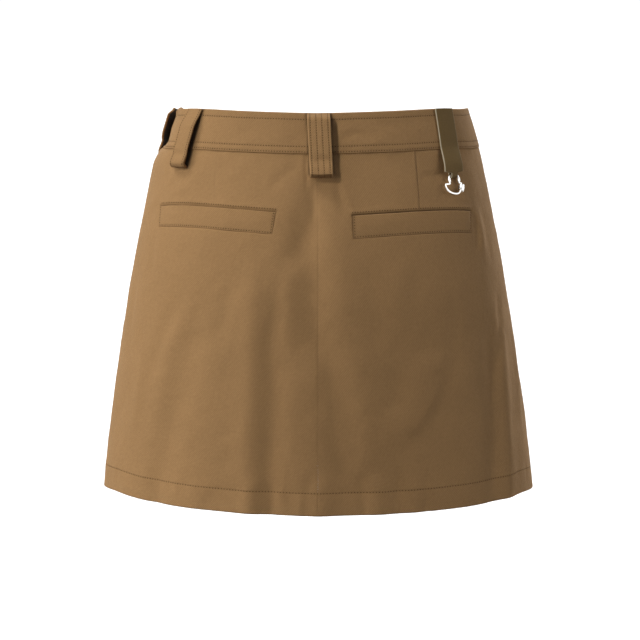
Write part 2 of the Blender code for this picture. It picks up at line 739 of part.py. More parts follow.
def shorts_rows():
    """Rows of the left half of the shorts: open rows down to the crotch, then closed rings."""
    share = np.linspace(0.0, 1.0, OUTER_STEPS + 1)
    bearing = 180.0 * share
    seat = [on_cloth(bearing, SHORTS_TOP, np.full(bearing.shape, SHORTS_LIFT))]
    seat += [body_point(bearing, level) for level in SEAT_LEVELS]
    for row in seat:
        row[:, 0] = np.maximum(row[:, 0], SEAM_GAP / 2)
    legs = []
    inner_share = np.linspace(0.0, 1.0, INNER_STEPS + 1)[1:-1]
    for step in range(LEG_ROWS):
        down = step / (LEG_ROWS - 1)
        level = CROTCH_LEVEL + (LEG_HEM_LEVEL - CROTCH_LEVEL) * down
        outer_leg = leg_point(-INNER_ARC + (180.0 + 2 * INNER_ARC) * share, level)
        outer = body_point(bearing, level) * (1 - ease(down)) + outer_leg * ease(down)
        start, end = outer[-1], outer[0]
        line = start + (end - start) * inner_share[:, None]
        line[:, 2] -= CROTCH_DIP * np.sin(math.pi * inner_share) * (1 - down)
        turn = 180.0 + INNER_ARC + (180.0 - 2 * INNER_ARC) * inner_share
        inner = line * (1 - ease(down)) + leg_point(turn, level) * ease(down)
        inner[:, 2] = line[:, 2]
        ring = np.concatenate([outer, inner])
        ring[:, 0] = np.maximum(ring[:, 0], SEAM_GAP / 2)
        legs.append(ring)
    return seat, legs


def add_shorts(name, side):
    """One half of the shorts: side is 1 for the wearer's left and -1 for the right."""
    seat, legs = shorts_rows()
    body = bmesh.new()
    rows = []
    for points in seat + legs:
        rows.append([body.verts.new((side * x, y, z)) for x, y, z in points])
    for upper, lower in zip(rows, rows[1:]):
        count = len(upper)
        closed = count > OUTER_STEPS + 1
        for here in range(count if closed else count - 1):
            after = (here + 1) % count
            body.faces.new((upper[here], upper[after], lower[after], lower[here]))
    bmesh.ops.recalc_face_normals(body, faces=body.faces)
    mesh = bpy.data.meshes.new(name)
    body.to_mesh(mesh)
    body.free()
    if mesh.polygons[0].normal.dot(mesh.polygons[0].center) < 0:
        mesh.flip_normals()
    mesh.shade_smooth()
    shorts = add_object(name, mesh, material("jersey", JERSEY_TAN, 0.9))
    thick = shorts.modifiers.new("jersey", "SOLIDIFY")
    thick.thickness = JERSEY
    thick.offset = -1.0
    thick.use_even_offset = True


def build_shorts():
    add_shorts("shorts_left", 1)
    add_shorts("shorts_right", -1)


def clear_scene():
    for old in list(bpy.data.objects):
        bpy.data.objects.remove(old, do_unlink=True)


def build():
    clear_scene()
    build_panels()
    build_band()
    build_loops()
    build_welts()
    build_strap()
    build_ring()
    build_button()
    build_shorts()


build()
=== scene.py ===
"""Looks of a short A-line golf skort of cotton twill, filled out as if worn, with its inner shorts.

Units are metres. A place on the cloth is given by its bearing round the body and its drop below
the waist edge. Bearings are in degrees: 0 is the centre back (+Y), 90 the wearer's left (+X), 180
the centre front, and negative bearings are on the wearer's right.
"""

import math

import bpy
import numpy as np
from mathutils import Matrix, Vector


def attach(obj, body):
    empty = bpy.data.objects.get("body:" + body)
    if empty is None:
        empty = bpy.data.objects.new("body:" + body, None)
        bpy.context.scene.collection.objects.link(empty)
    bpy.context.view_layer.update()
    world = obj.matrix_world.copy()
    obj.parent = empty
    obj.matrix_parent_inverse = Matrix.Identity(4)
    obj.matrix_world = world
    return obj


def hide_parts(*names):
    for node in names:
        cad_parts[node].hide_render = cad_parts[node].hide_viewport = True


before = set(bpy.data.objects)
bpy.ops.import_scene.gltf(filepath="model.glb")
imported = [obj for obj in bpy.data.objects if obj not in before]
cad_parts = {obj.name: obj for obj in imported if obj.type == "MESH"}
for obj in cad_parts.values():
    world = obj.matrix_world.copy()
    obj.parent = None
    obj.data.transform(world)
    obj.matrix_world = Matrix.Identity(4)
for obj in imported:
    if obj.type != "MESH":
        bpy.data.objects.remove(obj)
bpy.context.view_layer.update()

# Main sizes of the garment
BAND_HEIGHT = 0.035
SIDE_LENGTH = 0.3435
HEM_DEPTH = 0.021
BAND_CLOTH = 0.0024
BAND_PROUD = 0.0008
WAIST_Z = 0.019
HEM_Z = WAIST_Z - SIDE_LENGTH
HEM_LEAN = 0.0010

# Plan sections of the outer face. The level is measured down from the side of the waist edge.
SECTION_COLUMNS = ("level", "half_width", "back_depth", "front_depth", "fullness")
SECTIONS = (
    (-0.010, 0.1300, 0.0915, 0.0985, 2.12),
    (0.000, 0.1332, 0.0940, 0.1000, 2.12),
    (0.038, 0.1445, 0.1055, 0.1065, 2.12),
    (0.085, 0.1548, 0.1205, 0.1150, 2.12),
    (0.145, 0.1665, 0.1325, 0.1215, 2.10),
    (0.200, 0.1754, 0.1375, 0.1270, 2.06),
    (0.260, 0.1846, 0.1400, 0.1330, 2.00),
    (0.343, 0.1942, 0.1420, 0.1410, 1.96),
    (0.365, 0.1965, 0.1425, 0.1430, 1.96),
)

# Rise of the waist edge and of the hem, above those of the side of the waist and the hem. The hem
# also leans: it is HEM_LEAN higher at the wearer's left side and as much lower at the right.
EDGE_COLUMNS = ("bearing", "waist_rise", "hem_rise")
EDGES = (
    (0.0, 0.0021, 0.0000),
    (25.0, 0.0032, 0.0012),
    (50.0, 0.0038, 0.0028),
    (70.0, 0.0018, 0.0048),
    (90.0, 0.0003, 0.0022),
    (120.0, -0.0090, 0.0040),
    (150.0, -0.0160, 0.0015),
    (180.0, -0.0190, 0.0000),
)

# Largest folds: each runs from its top to its foot, is this wide to either side and this high.
# A fold rises over the first FOLD_END of its length and dies away over the last.
FOLD_END = 0.25
FOLD_COLUMNS = ("top_bearing", "top_drop", "foot_bearing", "foot_drop", "half_width", "height")
FOLDS = (
    # the waist dips in behind the belt loop that stands out on the wearer's left
    (88.0, -0.030, 88.0, 0.051, 0.0400, -0.0050),
    (88.0, -0.006, 88.0, 0.038, 0.0400, -0.0088),
    # back, as the photograph shows them
    (-1.5, 0.050, 8.2, 0.140, 0.0100, -0.0024),
    (-0.5, 0.050, -18.0, 0.330, 0.0160, 0.0022),
    (1.0, 0.070, 1.5, 0.230, 0.0130, -0.0026),
    (12.6, 0.115, 13.2, 0.420, 0.0110, -0.0024),
    (18.4, 0.110, 17.6, 0.420, 0.0120, 0.0025),
    (36.3, 0.150, 51.0, 0.400, 0.0150, -0.0022),
    (-4.5, 0.150, -9.5, 0.430, 0.0105, -0.0022),
    (-36.6, 0.200, -22.3, 0.290, 0.0130, 0.0018),
    (-59.8, 0.170, -52.0, 0.400, 0.0120, -0.0020),
    (-67.0, 0.160, -59.0, 0.430, 0.0130, 0.0024),
    # front and sides, alike but in other places
    (100.0, 0.110, 108.0, 0.430, 0.0140, 0.0022),
    (121.0, 0.130, 128.0, 0.430, 0.0150, -0.0024),
    (140.0, 0.090, 151.0, 0.420, 0.0160, 0.0024),
    (166.0, 0.150, 160.0, 0.430, 0.0130, -0.0020),
    (-105.0, 0.120, -99.0, 0.430, 0.0140, -0.0020),
    (-124.0, 0.100, -133.0, 0.430, 0.0150, 0.0024),
    (-152.0, 0.120, -147.0, 0.420, 0.0140, -0.0022),
    (-171.0, 0.140, -164.0, 0.430, 0.0150, 0.0018),
)

# Creases: soft troughs and ridges from a start to an end, bowed sideways, with a softer ridge or
# trough beside each. Turns are made lengths by CREASE_RADIUS.
CREASE_RADIUS = 0.135
CREASE_END = 0.35
# The softer form beside a crease: its share of the height, its place and its width, in half widths
BESIDE_HEIGHT = 0.40
BESIDE_PLACE = 1.7
BESIDE_WIDTH = 1.3
CREASE_COLUMNS = (
    "start_bearing", "start_drop", "end_bearing", "end_drop", "bow", "half_width", "height",
)
CREASES = (
    # back: drag lines below the band and by the darts
    (16.5, 0.069, 5.5, 0.042, 0.002, 0.0050, -0.00045),
    (4.1, 0.028, 3.7, 0.070, 0.000, 0.0012, -0.00110),
    (2.8, 0.058, 1.3, 0.100, 0.001, 0.0034, -0.00080),
    (-6.2, 0.050, -9.2, 0.088, -0.002, 0.0036, -0.00150),
    (-33.5, 0.060, -48.5, 0.058, 0.003, 0.0030, -0.00055),
    (-38.0, 0.066, -52.0, 0.071, 0.002, 0.0040, 0.00040),
    (33.0, 0.062, 24.0, 0.049, 0.002, 0.0045, 0.00045),
    (46.0, 0.060, 60.0, 0.068, -0.002, 0.0050, -0.00050),
    (64.0, 0.074, 77.0, 0.088, 0.003, 0.0055, 0.00060),
    (-58.5, 0.086, -57.2, 0.128, 0.003, 0.0045, -0.00100),
    (-62.5, 0.080, -61.0, 0.135, 0.003, 0.0055, 0.00100),
    (62.6, 0.106, 58.5, 0.150, -0.002, 0.0050, -0.00050),
    # back: long soft ones down the skirt
    (3.5, 0.150, -3.2, 0.262, 0.004, 0.0060, -0.00090),
    (-1.9, 0.255, -11.3, 0.333, -0.003, 0.0050, -0.00080),
    (8.5, 0.124, 12.5, 0.230, 0.003, 0.0060, 0.00070),
    (26.0, 0.130, 33.0, 0.215, 0.004, 0.0065, -0.00070),
    (41.0, 0.140, 56.0, 0.260, -0.005, 0.0075, -0.00090),
    (-14.0, 0.120, -17.0, 0.215, 0.004, 0.0070, -0.00070),
    (-21.0, 0.215, -20.5, 0.262, 0.003, 0.0070, -0.00100),
    (-28.0, 0.125, -24.5, 0.190, -0.003, 0.0060, 0.00060),
    (-37.0, 0.225, -23.0, 0.280, 0.003, 0.0050, 0.00070),
    (-44.0, 0.150, -38.0, 0.250, 0.004, 0.0070, -0.00070),
    (-70.0, 0.150, -58.0, 0.240, 0.004, 0.0055, -0.00110),
    (-82.0, 0.180, -73.5, 0.300, 0.004, 0.0065, 0.00090),
    (61.0, 0.200, 62.5, 0.300, 0.004, 0.0065, 0.00070),
    (74.0, 0.130, 68.0, 0.230, -0.004, 0.0070, -0.00080),
    # sides and front
    (97.0, 0.070, 108.0, 0.150, 0.004, 0.0060, -0.00080),
    (112.0, 0.150, 118.0, 0.260, -0.004, 0.0065, 0.00080),
    (133.0, 0.060, 128.0, 0.130, 0.003, 0.0060, -0.00070),
    (150.0, 0.140, 156.0, 0.250, 0.004, 0.0065, -0.00080),
    (168.0, 0.176, 158.0, 0.230, 0.003, 0.0050, -0.00070),
    (172.0, 0.190, 176.0, 0.280, 0.003, 0.0060, 0.00060),
    (-96.0, 0.060, -104.0, 0.140, 0.004, 0.0060, -0.00080),
    (-115.0, 0.130, -110.0, 0.240, -0.004, 0.0065, 0.00080),
    (-130.0, 0.070, -138.0, 0.150, 0.003, 0.0060, -0.00070),
    (-144.0, 0.160, -152.0, 0.270, 0.004, 0.0065, 0.00080),
    (-168.0, 0.174, -157.0, 0.215, -0.003, 0.0050, -0.00070),
    (-160.0, 0.060, -168.0, 0.120, 0.002, 0.0055, 0.00050),
    # short upright ones in the hem
    (7.5, 0.300, 7.5, 0.360, 0.001, 0.0040, -0.00060),
    (3.1, 0.308, 3.3, 0.360, 0.001, 0.0028, -0.00060),
    (-1.3, 0.305, -1.3, 0.360, 0.001, 0.0045, 0.00060),
    (-11.2, 0.300, -11.4, 0.360, 0.001, 0.0042, -0.00120),
    (-16.5, 0.306, -16.3, 0.360, 0.001, 0.0050, 0.00080),
    (-21.2, 0.304, -21.4, 0.360, 0.001, 0.0038, -0.00100),
    (-26.4, 0.306, -26.0, 0.360, 0.001, 0.0050, 0.00060),
    (-29.0, 0.312, -29.0, 0.360, 0.001, 0.0022, -0.00050),
    (-42.2, 0.304, -42.0, 0.360, 0.001, 0.0060, 0.00060),
    (12.5, 0.310, 12.5, 0.360, 0.001, 0.0030, -0.00060),
    (17.0, 0.306, 17.2, 0.360, 0.001, 0.0040, 0.00050),
    (21.7, 0.310, 21.7, 0.360, 0.001, 0.0026, -0.00045),
    (34.0, 0.306, 34.2, 0.360, 0.001, 0.0050, 0.00040),
    (48.0, 0.306, 48.0, 0.360, 0.001, 0.0045, -0.00045),
    (104.0, 0.300, 104.0, 0.360, 0.001, 0.0045, -0.00070),
    (124.0, 0.300, 124.0, 0.360, 0.001, 0.0050, 0.00070),
    (147.0, 0.290, 147.0, 0.350, 0.001, 0.0045, -0.00080),
    (171.0, 0.285, 171.0, 0.345, 0.001, 0.0040, 0.00060),
    (-102.0, 0.300, -102.0, 0.360, 0.001, 0.0045, 0.00070),
    (-120.0, 0.300, -120.0, 0.360, 0.001, 0.0040, -0.00080),
    (-140.0, 0.290, -140.0, 0.350, 0.001, 0.0050, 0.00070),
    (-162.0, 0.285, -162.0, 0.345, 0.001, 0.0045, -0.00070),
)
# Soft dents and swells in the waistband
BAND_CREASES = (
    (-6.5, 0.026, -17.0, 0.015, 0.001, 0.0035, -0.00045),
    (-14.0, 0.028, -26.0, 0.021, -0.001, 0.0040, 0.00040),
    (-20.0, 0.010, -31.0, 0.017, 0.001, 0.0035, -0.00035),
    (-34.0, 0.024, -45.0, 0.012, 0.001, 0.0045, 0.00035),
    (8.0, 0.024, 17.0, 0.012, 0.001, 0.0040, 0.00030),
    (20.0, 0.012, 32.0, 0.022, 0.001, 0.0045, -0.00030),
    (36.0, 0.026, 46.0, 0.014, 0.001, 0.0040, 0.00030),
    (64.0, 0.024, 76.0, 0.012, 0.001, 0.0040, -0.00040),
    (100.0, 0.012, 116.0, 0.024, 0.001, 0.0045, 0.00040),
    (130.0, 0.024, 146.0, 0.014, 0.001, 0.0045, -0.00040),
    (160.0, 0.024, 168.0, 0.012, 0.001, 0.0040, -0.00035),
    (-98.0, 0.012, -114.0, 0.024, 0.001, 0.0045, -0.00040),
    (-130.0, 0.024, -148.0, 0.012, 0.001, 0.0045, 0.00040),
    (-158.0, 0.014, -168.0, 0.024, 0.001, 0.0040, -0.00035),
)

# Uneven rumples of the cloth: height, size round the body, size down it, and seed of the noise
RUMPLES = {
    "panel": (0.00034, 0.021, 0.034, 3),
    "panel_fine": (0.00015, 0.008, 0.011, 4),
    "band": (0.00012, 0.011, 0.009, 11),
    "welt": (0.00016, 0.012, 0.007, 31),
}
# Puckers along a level row of stitches: height, length, and seed of the noise
PUCKERS = {
    "hem": (0.00030, 0.0060, 6),
    "hem_soft": (0.00022, 0.0150, 7),
    "below_band": (0.00022, 0.0070, 8),
    "band": (0.00010, 0.0055, 12),
}

# Seams of the panels, from the band to the hem: how deep their grooves are and how much painted shade lies
# in them
SEAM_COLUMNS = ("bearing", "depth", "shade")
SEAMS = (
    (0.0, 0.00010, 0.12),
    (90.0, 0.00045, 0.55),
    (-90.0, 0.00045, 0.55),
    (180.0, 0.00045, 0.55),
)
SEAM_HALF_WIDTH = 0.0008
# Back darts: a pressed seam that ends above the pocket, with its fold of cloth to one side
DART_COLUMNS = ("top_bearing", "foot_bearing", "foot_drop", "depth", "side")
DARTS = (
    (-35.3, -34.2, 0.0860, 0.00045, 1),
    (36.9, 35.6, 0.0820, 0.00008, -1),
)
DART_HALF_WIDTH = 0.00042
DART_FOLD = 0.0090
DART_RAISE = 0.00030
DART_FULL_DEPTH = 0.0006

# Stitching
STITCH = 0.0024
HEM_STITCH = 0.0027
LOOP_STITCH = 0.0022
SHORTS_STITCH = 0.0032
STITCH_GAP = 0.20
THREAD = 0.00018
GROOVE_DEPTH = 0.00020
GROOVE_HALF_WIDTH = 0.00060
BAND_ROWS = (0.0059, 0.0288, 0.0334)
HEM_ROW = 0.0200

# Front closing: the wearer's right side laps over the left
CENTRE_FRONT = -180.0
FRONT_RADIUS = 0.105
FLY_LAP = 0.004
FLY_LIFT = 0.0017
FLY_FOOT = 0.165
FLY_END = 0.012
FLY_SETTLE = 0.020
FLY_RUN_IN = 0.030
FLY_WIDTH = 0.030
BAND_LAP = 0.012
BAND_LIFT = BAND_CLOTH + 0.00045
BAND_RUN_IN = 0.034

# Belt loops
LOOP_COLUMNS = (
    "top_bearing", "foot_bearing", "width", "length", "stand_off", "rise", "fall", "end", "tilt",
)
LOOPS = {
    "loop_back": (-0.2, -1.2, 0.0196, 0.0542, 0.0062, 0.13, 0.025, 1.00, 0.0),
    "loop_back_left": (52.2, 53.2, 0.0172, 0.0508, 0.0040, 0.35, 0.040, 1.00, 0.0),
    "loop_front_left": (110.0, 107.0, 0.0180, 0.0570, 0.0036, 0.10, 0.40, 0.78, 0.50),
    "loop_front_right": (-117.0, -115.0, 0.0180, 0.0570, 0.0024, 0.12, 0.26, 0.90, 0.0),
}
LOOP_CLOTH = 0.0018
LOOP_FOOT_CLOTH = 0.0030
LOOP_FOOT = 0.004
LOOP_FOOT_STEP = 0.008
LOOP_REST = 0.0004
# How far the top fold of a loop stands above the waist edge
LOOP_TOP_RISE = {"loop_front_left": 0.0034}
LOOP_GROOVE_HALF_WIDTH = 0.00042
# Painted shade of the inner face of a loop, and of the cloth beneath it, with its reach past the loop
LOOP_INNER_PAINTED_SHADE = 1.9
LOOP_INNER_EDGE = 0.0030
UNDER_LOOP_PAINTED_SHADE = 1.5
UNDER_LOOP_REACH = 0.0020
LOOP_STITCHES = {
    "loop_back": (-0.76, -0.25, 0.25, 0.76),
    "loop_back_left": (-0.80, 0.80),
    "loop_front_left": (-0.80, 0.80),
    "loop_front_right": (-0.80, 0.80),
}

# Welts of the two back pockets: bearings and drops of their corners
WELT_COLUMNS = (
    "inner_top_bearing", "outer_top_bearing", "inner_foot_bearing", "outer_foot_bearing",
    "inner_top", "outer_top", "inner_foot", "outer_foot",
)
WELTS = {
    "welt_left": (13.6, 62.2, 14.4, 60.6, 0.0846, 0.0848, 0.1032, 0.1028),
    "welt_right": (-11.0, -58.2, -11.0, -56.6, 0.0872, 0.0890, 0.1068, 0.1076),
}
WELT_ARCH = 0.0018
WELT_WIDTH = 0.118
WELT_HEIGHT = 0.0188
# Painted shade of the mouth and of the sewn edges of each welt
MOUTH_PAINTED_SHADE = {"welt_left": 0.5, "welt_right": 1.6}
WELT_EDGE_PAINTED_SHADE = {"welt_left": 0.4, "welt_right": 1.3}
# Below a welt the panel dips by WELT_DIP, and by MOUTH_DIP more along the mouth. A lip swells above.
WELT_DIP = 0.0013
MOUTH_DIP = 0.0007
LIP_HEIGHT = 0.00035
# Stitches of a welt: how far in from its edges, and how far above it on the panel
WELT_INSET = 0.0014
WELT_ROW_ABOVE = 0.0026

# Ring and the strap that holds it
WIRE = 0.0008
POST_WIRE = 0.00125
BAR_CLEARANCE = 0.00035
STRAP_CLOTH = 0.0012
STRAP_WIDTH = 0.0215
NECK_WIDTH = 0.0070
STRAP_TOP_BEARING = -54.2
STRAP_FOOT_BEARING = -50.2
BAR_DROP = 0.0584
NECK_TOP = BAR_DROP - 0.0027
BACK_TOP = 0.0410
FOLD_RADIUS = WIRE + BAR_CLEARANCE + STRAP_CLOTH / 2
BAR_LIFT = LOOP_REST + STRAP_CLOTH / 2 + FOLD_RADIUS
BAR_HALF = 0.0057
CORNER = 0.0016
POST_FOOT = 0.0060
SHOULDER = 0.0010
BOW_HALF = 0.0114
BOW_TOP = 0.0080
RING_DEPTH = 0.0160
BARREL_INSET = 0.0036

# Inner shorts
JERSEY = 0.0010
SHORTS_TOP = BAND_HEIGHT + 0.0012
SHORTS_LIFT = -0.0021
BODY_COLUMNS = ("level", "half_width", "back_depth", "front_depth")
BODY = (
    (0.040, 0.1352, 0.1010, 0.0990),
    (0.085, 0.1485, 0.1120, 0.1040),
    (0.145, 0.1580, 0.1190, 0.1030),
    (0.215, 0.1590, 0.1130, 0.0950),
)
CROTCH_LEVEL = 0.215
CROTCH_DIP = 0.022
LEG_HEM_LEVEL = 0.300
LEG_CENTRE = 0.0860
LEG_FORWARD = -0.0030
LEG_HALF_WIDTH = 0.0745
LEG_HALF_DEPTH = 0.0820
INNER_ARC = 70.0

# Colours, as the share of light that they give back
TWILL_BROWN = (0.425, 0.241, 0.099)
THREAD_BROWN = (0.430, 0.245, 0.100)
STRAP_OLIVE = (0.182, 0.115, 0.044)
STRAP_EDGE = (0.520, 0.440, 0.300)
JERSEY_BROWN = (0.300, 0.195, 0.095)
HORN_DARK = (0.055, 0.030, 0.016)
HORN_LIGHT = (0.190, 0.105, 0.050)
NICKEL = (0.930, 0.930, 0.900)

# Camera and light. The photograph is seen from behind, a little from above.
CAMERA_PLACE = (-0.0018, 2.9751, 0.2140)
CAMERA_AIM = (-0.0018, 0.0, -0.1715)
CAMERA_LENS = 187.5
SENSOR = 36.0
# Soft suns: the way each comes from, its height over the horizon, its strength and its width.
# Azimuth 0 is behind the wearer and 90 the wearer's left.
LIGHT_COLUMNS = ("name", "azimuth", "elevation", "strength", "softness")
LIGHTS = (
    ("key", 38.0, 12.0, 0.220, 4.0),
    ("key_high", 42.0, 35.0, 0.315, 4.0),
    ("side_low", 85.0, 12.0, 0.360, 20.0),
    ("side_high", 85.0, 60.0, 0.450, 20.0),
    ("rim", -85.0, 15.0, 0.300, 30.0),
    ("front", 180.0, 20.0, 0.200, 40.0),
    ("front_side", -150.0, 30.0, 0.420, 15.0),
)
# Brightness of the surroundings at the horizon and above it, and of the pale floor and backdrop
HORIZON_GLOW = 0.15
UPPER_GLOW = 0.05
# The surroundings fade between these heights, as sines of the elevation
GLOW_FADE = (0.10, 0.22)
FLOOR_GLOW = 0.25
BACKDROP_GLOW = 1.0
BACKDROP_RADIUS = 20.0
BACKDROP_HEIGHT = 30.0
BACKDROP_SIDES = 64
FLOOR_Z = -0.92
FLOOR_SIZE = 60.0


# ---------------------------------------------------------------- form of the cloth


def column(table, names, name):
    """One named column of a table, as an array."""
    return np.array([row[names.index(name)] for row in table])


def named(names, row):
    """One row of a table, by the names of its columns."""
    return dict(zip(names, row, strict=True))


def curve_through(x, knots, values):
    """Smooth curve through a table's points, read at x."""
    slopes = np.gradient(values, knots)
    i = np.clip(np.searchsorted(knots, x) - 1, 0, len(knots) - 2)
    span = knots[i + 1] - knots[i]
    u = np.clip((x - knots[i]) / span, 0.0, 1.0)
    rise = u * u * (3 - 2 * u)
    start_bend = u * (1 - u) ** 2 * span * slopes[i]
    end_bend = u * u * (u - 1) * span * slopes[i + 1]
    return values[i] + (values[i + 1] - values[i]) * rise + start_bend + end_bend


def ease(u):
    """0 below 0, 1 above 1, and a smooth step between."""
    u = np.clip(u, 0.0, 1.0)
    return u * u * (3 - 2 * u)


def bell(distance, half_width):
    return np.exp(-((distance / half_width) ** 2))


def turned(bearing):
    """The same bearing between -180 and 180."""
    return (bearing + 180.0) % 360.0 - 180.0


def value_noise(x, y, seed):
    """Smooth noise between -1 and 1 over a plane, about one bump to a unit."""
    size = 64
    values = np.random.default_rng(seed).uniform(-1, 1, (size, size))
    i, j = np.floor(x).astype(int), np.floor(y).astype(int)
    u, v = ease(x - i), ease(y - j)

    def corner(step_i, step_j):
        return values[(i + step_i) % size, (j + step_j) % size]

    near = corner(0, 0) * (1 - u) + corner(1, 0) * u
    far = corner(0, 1) * (1 - u) + corner(1, 1) * u
    return near * (1 - v) + far * v


def read(table, names, at, name):
    """One column of a table, read at a place along its first column."""
    return curve_through(at, column(table, names, names[0]), column(table, names, name))


def around_body(bearing):
    """Length round the body from the centre back to a bearing."""
    return np.radians(turned(bearing)) * CREASE_RADIUS


def rumple(name, bearing, drop):
    height, across, down, seed = RUMPLES[name]
    return height * value_noise(around_body(bearing) / across, drop / down, seed)


def puckers(name, bearing, shift=0.0):
    height, length, seed = PUCKERS[name]
    along = around_body(bearing) / length
    return height * value_noise(along, shift + 0 * along, seed)


def edge_rise(bearing, name):
    """Rise of the waist edge or the hem at a bearing, the same on both sides."""
    return read(EDGES, EDGE_COLUMNS, np.abs(turned(bearing)), name)


def waist_height(bearing):
    return WAIST_Z + edge_rise(bearing, "waist_rise")


def hem_drop(bearing):
    """Length of the garment from its waist edge to its hem."""
    lean = HEM_LEAN * np.sin(np.radians(bearing))
    return waist_height(bearing) - HEM_Z - edge_rise(bearing, "hem_rise") - lean


def section(level, name):
    return read(SECTIONS, SECTION_COLUMNS, level, name)


def fold_height(bearing, drop, radius):
    """How far the folds push the cloth out at a place."""
    total = np.zeros(np.shape(bearing))
    for row in FOLDS:
        fold = named(FOLD_COLUMNS, row)
        length = fold["foot_drop"] - fold["top_drop"]
        turn = fold["foot_bearing"] - fold["top_bearing"]
        along = (drop - fold["top_drop"]) / length
        middle = fold["top_bearing"] + turn * along
        lean = np.radians(turn) * radius / length
        across = np.radians(turned(bearing - middle)) * radius / np.sqrt(1 + lean * lean)
        ends = ease(along / FOLD_END) * ease((1 - along) / FOLD_END)
        total = total + fold["height"] * ends * bell(across, fold["half_width"])
    return total


def face(bearing, drop):
    """Point of the outer face of the cloth."""
    bearing, drop = np.broadcast_arrays(np.asarray(bearing, float), np.asarray(drop, float))
    z = waist_height(bearing) - drop
    level = WAIST_Z - z
    turn = np.radians(bearing)
    half_width = section(level, "half_width")
    behind = np.cos(turn) >= 0
    depth = np.where(behind, section(level, "back_depth"), section(level, "front_depth"))
    fullness = section(level, "fullness")
    polar = np.arctan2(half_width * np.sin(turn), depth * np.cos(turn))
    side, fore = np.sin(polar), np.cos(polar)
    squareness = np.abs(side / half_width) ** fullness + np.abs(fore / depth) ** fullness
    radius = squareness ** (-1 / fullness)
    out_x, out_y = side / half_width, fore / depth
    out_length = np.hypot(out_x, out_y)
    push = fold_height(bearing, drop, radius)
    x = radius * side + push * out_x / out_length
    y = radius * fore + push * out_y / out_length
    return np.stack([x, y, z], axis=-1)


def unit(vectors):
    return vectors / np.linalg.norm(vectors, axis=-1, keepdims=True)


def outward(bearing, drop):
    """Outward normal of the cloth."""
    turn_step, drop_step = 0.1, 0.0004
    around = face(bearing + turn_step, drop) - face(bearing - turn_step, drop)
    down = face(bearing, drop + drop_step) - face(bearing, drop - drop_step)
    return unit(np.cross(around, down))


def on_cloth(bearing, drop, *lifts):
    """Points these far outside the outer face of the cloth, a set for each lift."""
    bearing, drop, *lifts = np.broadcast_arrays(*(np.asarray(v, float) for v in (bearing, drop, *lifts)))
    base, out = face(bearing, drop), outward(bearing, drop)
    return [base + out * lift[..., None] for lift in lifts]


def length_of_degree(bearing, drop):
    """Length on the cloth of one degree of bearing."""
    step = 0.1
    moved = face(bearing + step, drop) - face(bearing - step, drop)
    return np.linalg.norm(moved, axis=-1) / (2 * step)


def painted_shade_under_loops(bearing, drop):
    """Painted shade of the cloth beneath the belt loops and just past their sides."""
    shade = np.zeros(np.shape(bearing))
    for row in LOOPS.values():
        loop = named(LOOP_COLUMNS, row)
        middle = loop["top_bearing"] + (loop["foot_bearing"] - loop["top_bearing"]) * drop / loop["length"]
        aside = np.abs(turned(bearing - middle)) * length_of_degree(bearing, drop) - loop["width"] / 2
        inside = ease(1.0 - aside / UNDER_LOOP_REACH) * ease((loop["length"] - drop) / UNDER_LOOP_REACH)
        shade = np.maximum(shade, UNDER_LOOP_PAINTED_SHADE * inside)
    return shade


# ---------------------------------------------------------------- fine form of the panels


def crease_height(table, bearing, drop):
    """How far the creases push the cloth out at a place."""
    total = np.zeros(np.shape(bearing))
    for row in table:
        crease = named(CREASE_COLUMNS, row)
        x = around_body(bearing - crease["start_bearing"])
        y = drop - crease["start_drop"]
        run = math.radians(crease["end_bearing"] - crease["start_bearing"]) * CREASE_RADIUS
        fall = crease["end_drop"] - crease["start_drop"]
        length = math.hypot(run, fall)
        along = (x * run + y * fall) / length**2
        across = (y * run - x * fall) / length - crease["bow"] * 4 * along * (1 - along)
        across = across / crease["half_width"]
        ends = ease(along / CREASE_END) * ease((1 - along) / CREASE_END)
        profile = bell(across, 1.0) - BESIDE_HEIGHT * bell(across - BESIDE_PLACE, BESIDE_WIDTH)
        total = total + crease["height"] * ends * profile
    return total


def groove(distance, depth, half_width):
    """Height, below zero, of a groove at a distance from its line, and how much painted shade it gets."""
    inside = bell(distance, half_width)
    return -depth * inside, inside


def between(first, last, share):
    return first * (1 - share) + last * share


def welt_ends(welt, down):
    """Bearings of a welt's inner and outer end, at a share down it."""
    corners = [(welt[end + "_top_bearing"], welt[end + "_foot_bearing"]) for end in ("inner", "outer")]
    return [between(*corner, down) for corner in corners]


def welt_edges(welt, along):
    """Drops of a welt's top and foot, at a share along it."""
    arch = WELT_ARCH * np.sin(math.pi * np.clip(along, 0, 1))
    corners = [(welt["inner_" + edge], welt["outer_" + edge]) for edge in ("top", "foot")]
    return [between(*corner, along) - arch for corner in corners]


def welt_place(welt, bearing, drop):
    """A place as shares along a welt from its inner end, and down it from its top edge."""
    along = np.zeros(np.shape(bearing))
    down = np.zeros(np.shape(bearing))
    for _ in range(3):
        inner, outer = welt_ends(welt, down)
        along = turned(bearing - inner) / (outer - inner)
        top, foot = welt_edges(welt, along)
        down = np.clip((drop - top) / (foot - top), -2, 3)
    return along, down


def welt_relief(bearing, drop):
    """The panels dip beneath a welt, most along the mouth, and swell a little above it. The mouth gets
    painted shade.
    """
    height, shade = np.zeros(np.shape(bearing)), np.zeros(np.shape(bearing))
    for name, row in WELTS.items():
        along, down = welt_place(named(WELT_COLUMNS, row), bearing, drop)
        inside_x = np.minimum(along, 1 - along) * WELT_WIDTH
        inside_y = np.minimum(down, 1 - down) * WELT_HEIGHT
        inside = ease(np.minimum(inside_x, inside_y) / 0.0016 + 0.35)
        ends = ease(inside_x / 0.0015 + 1)
        mouth = bell(down * WELT_HEIGHT + 0.0002, 0.0009) * ends
        lip = bell((down * WELT_HEIGHT + 0.0032), 0.0018) * ends
        height = height - WELT_DIP * inside - MOUTH_DIP * mouth + LIP_HEIGHT * lip
        shade = np.maximum(shade, MOUTH_PAINTED_SHADE[name] * mouth)
    return height, shade


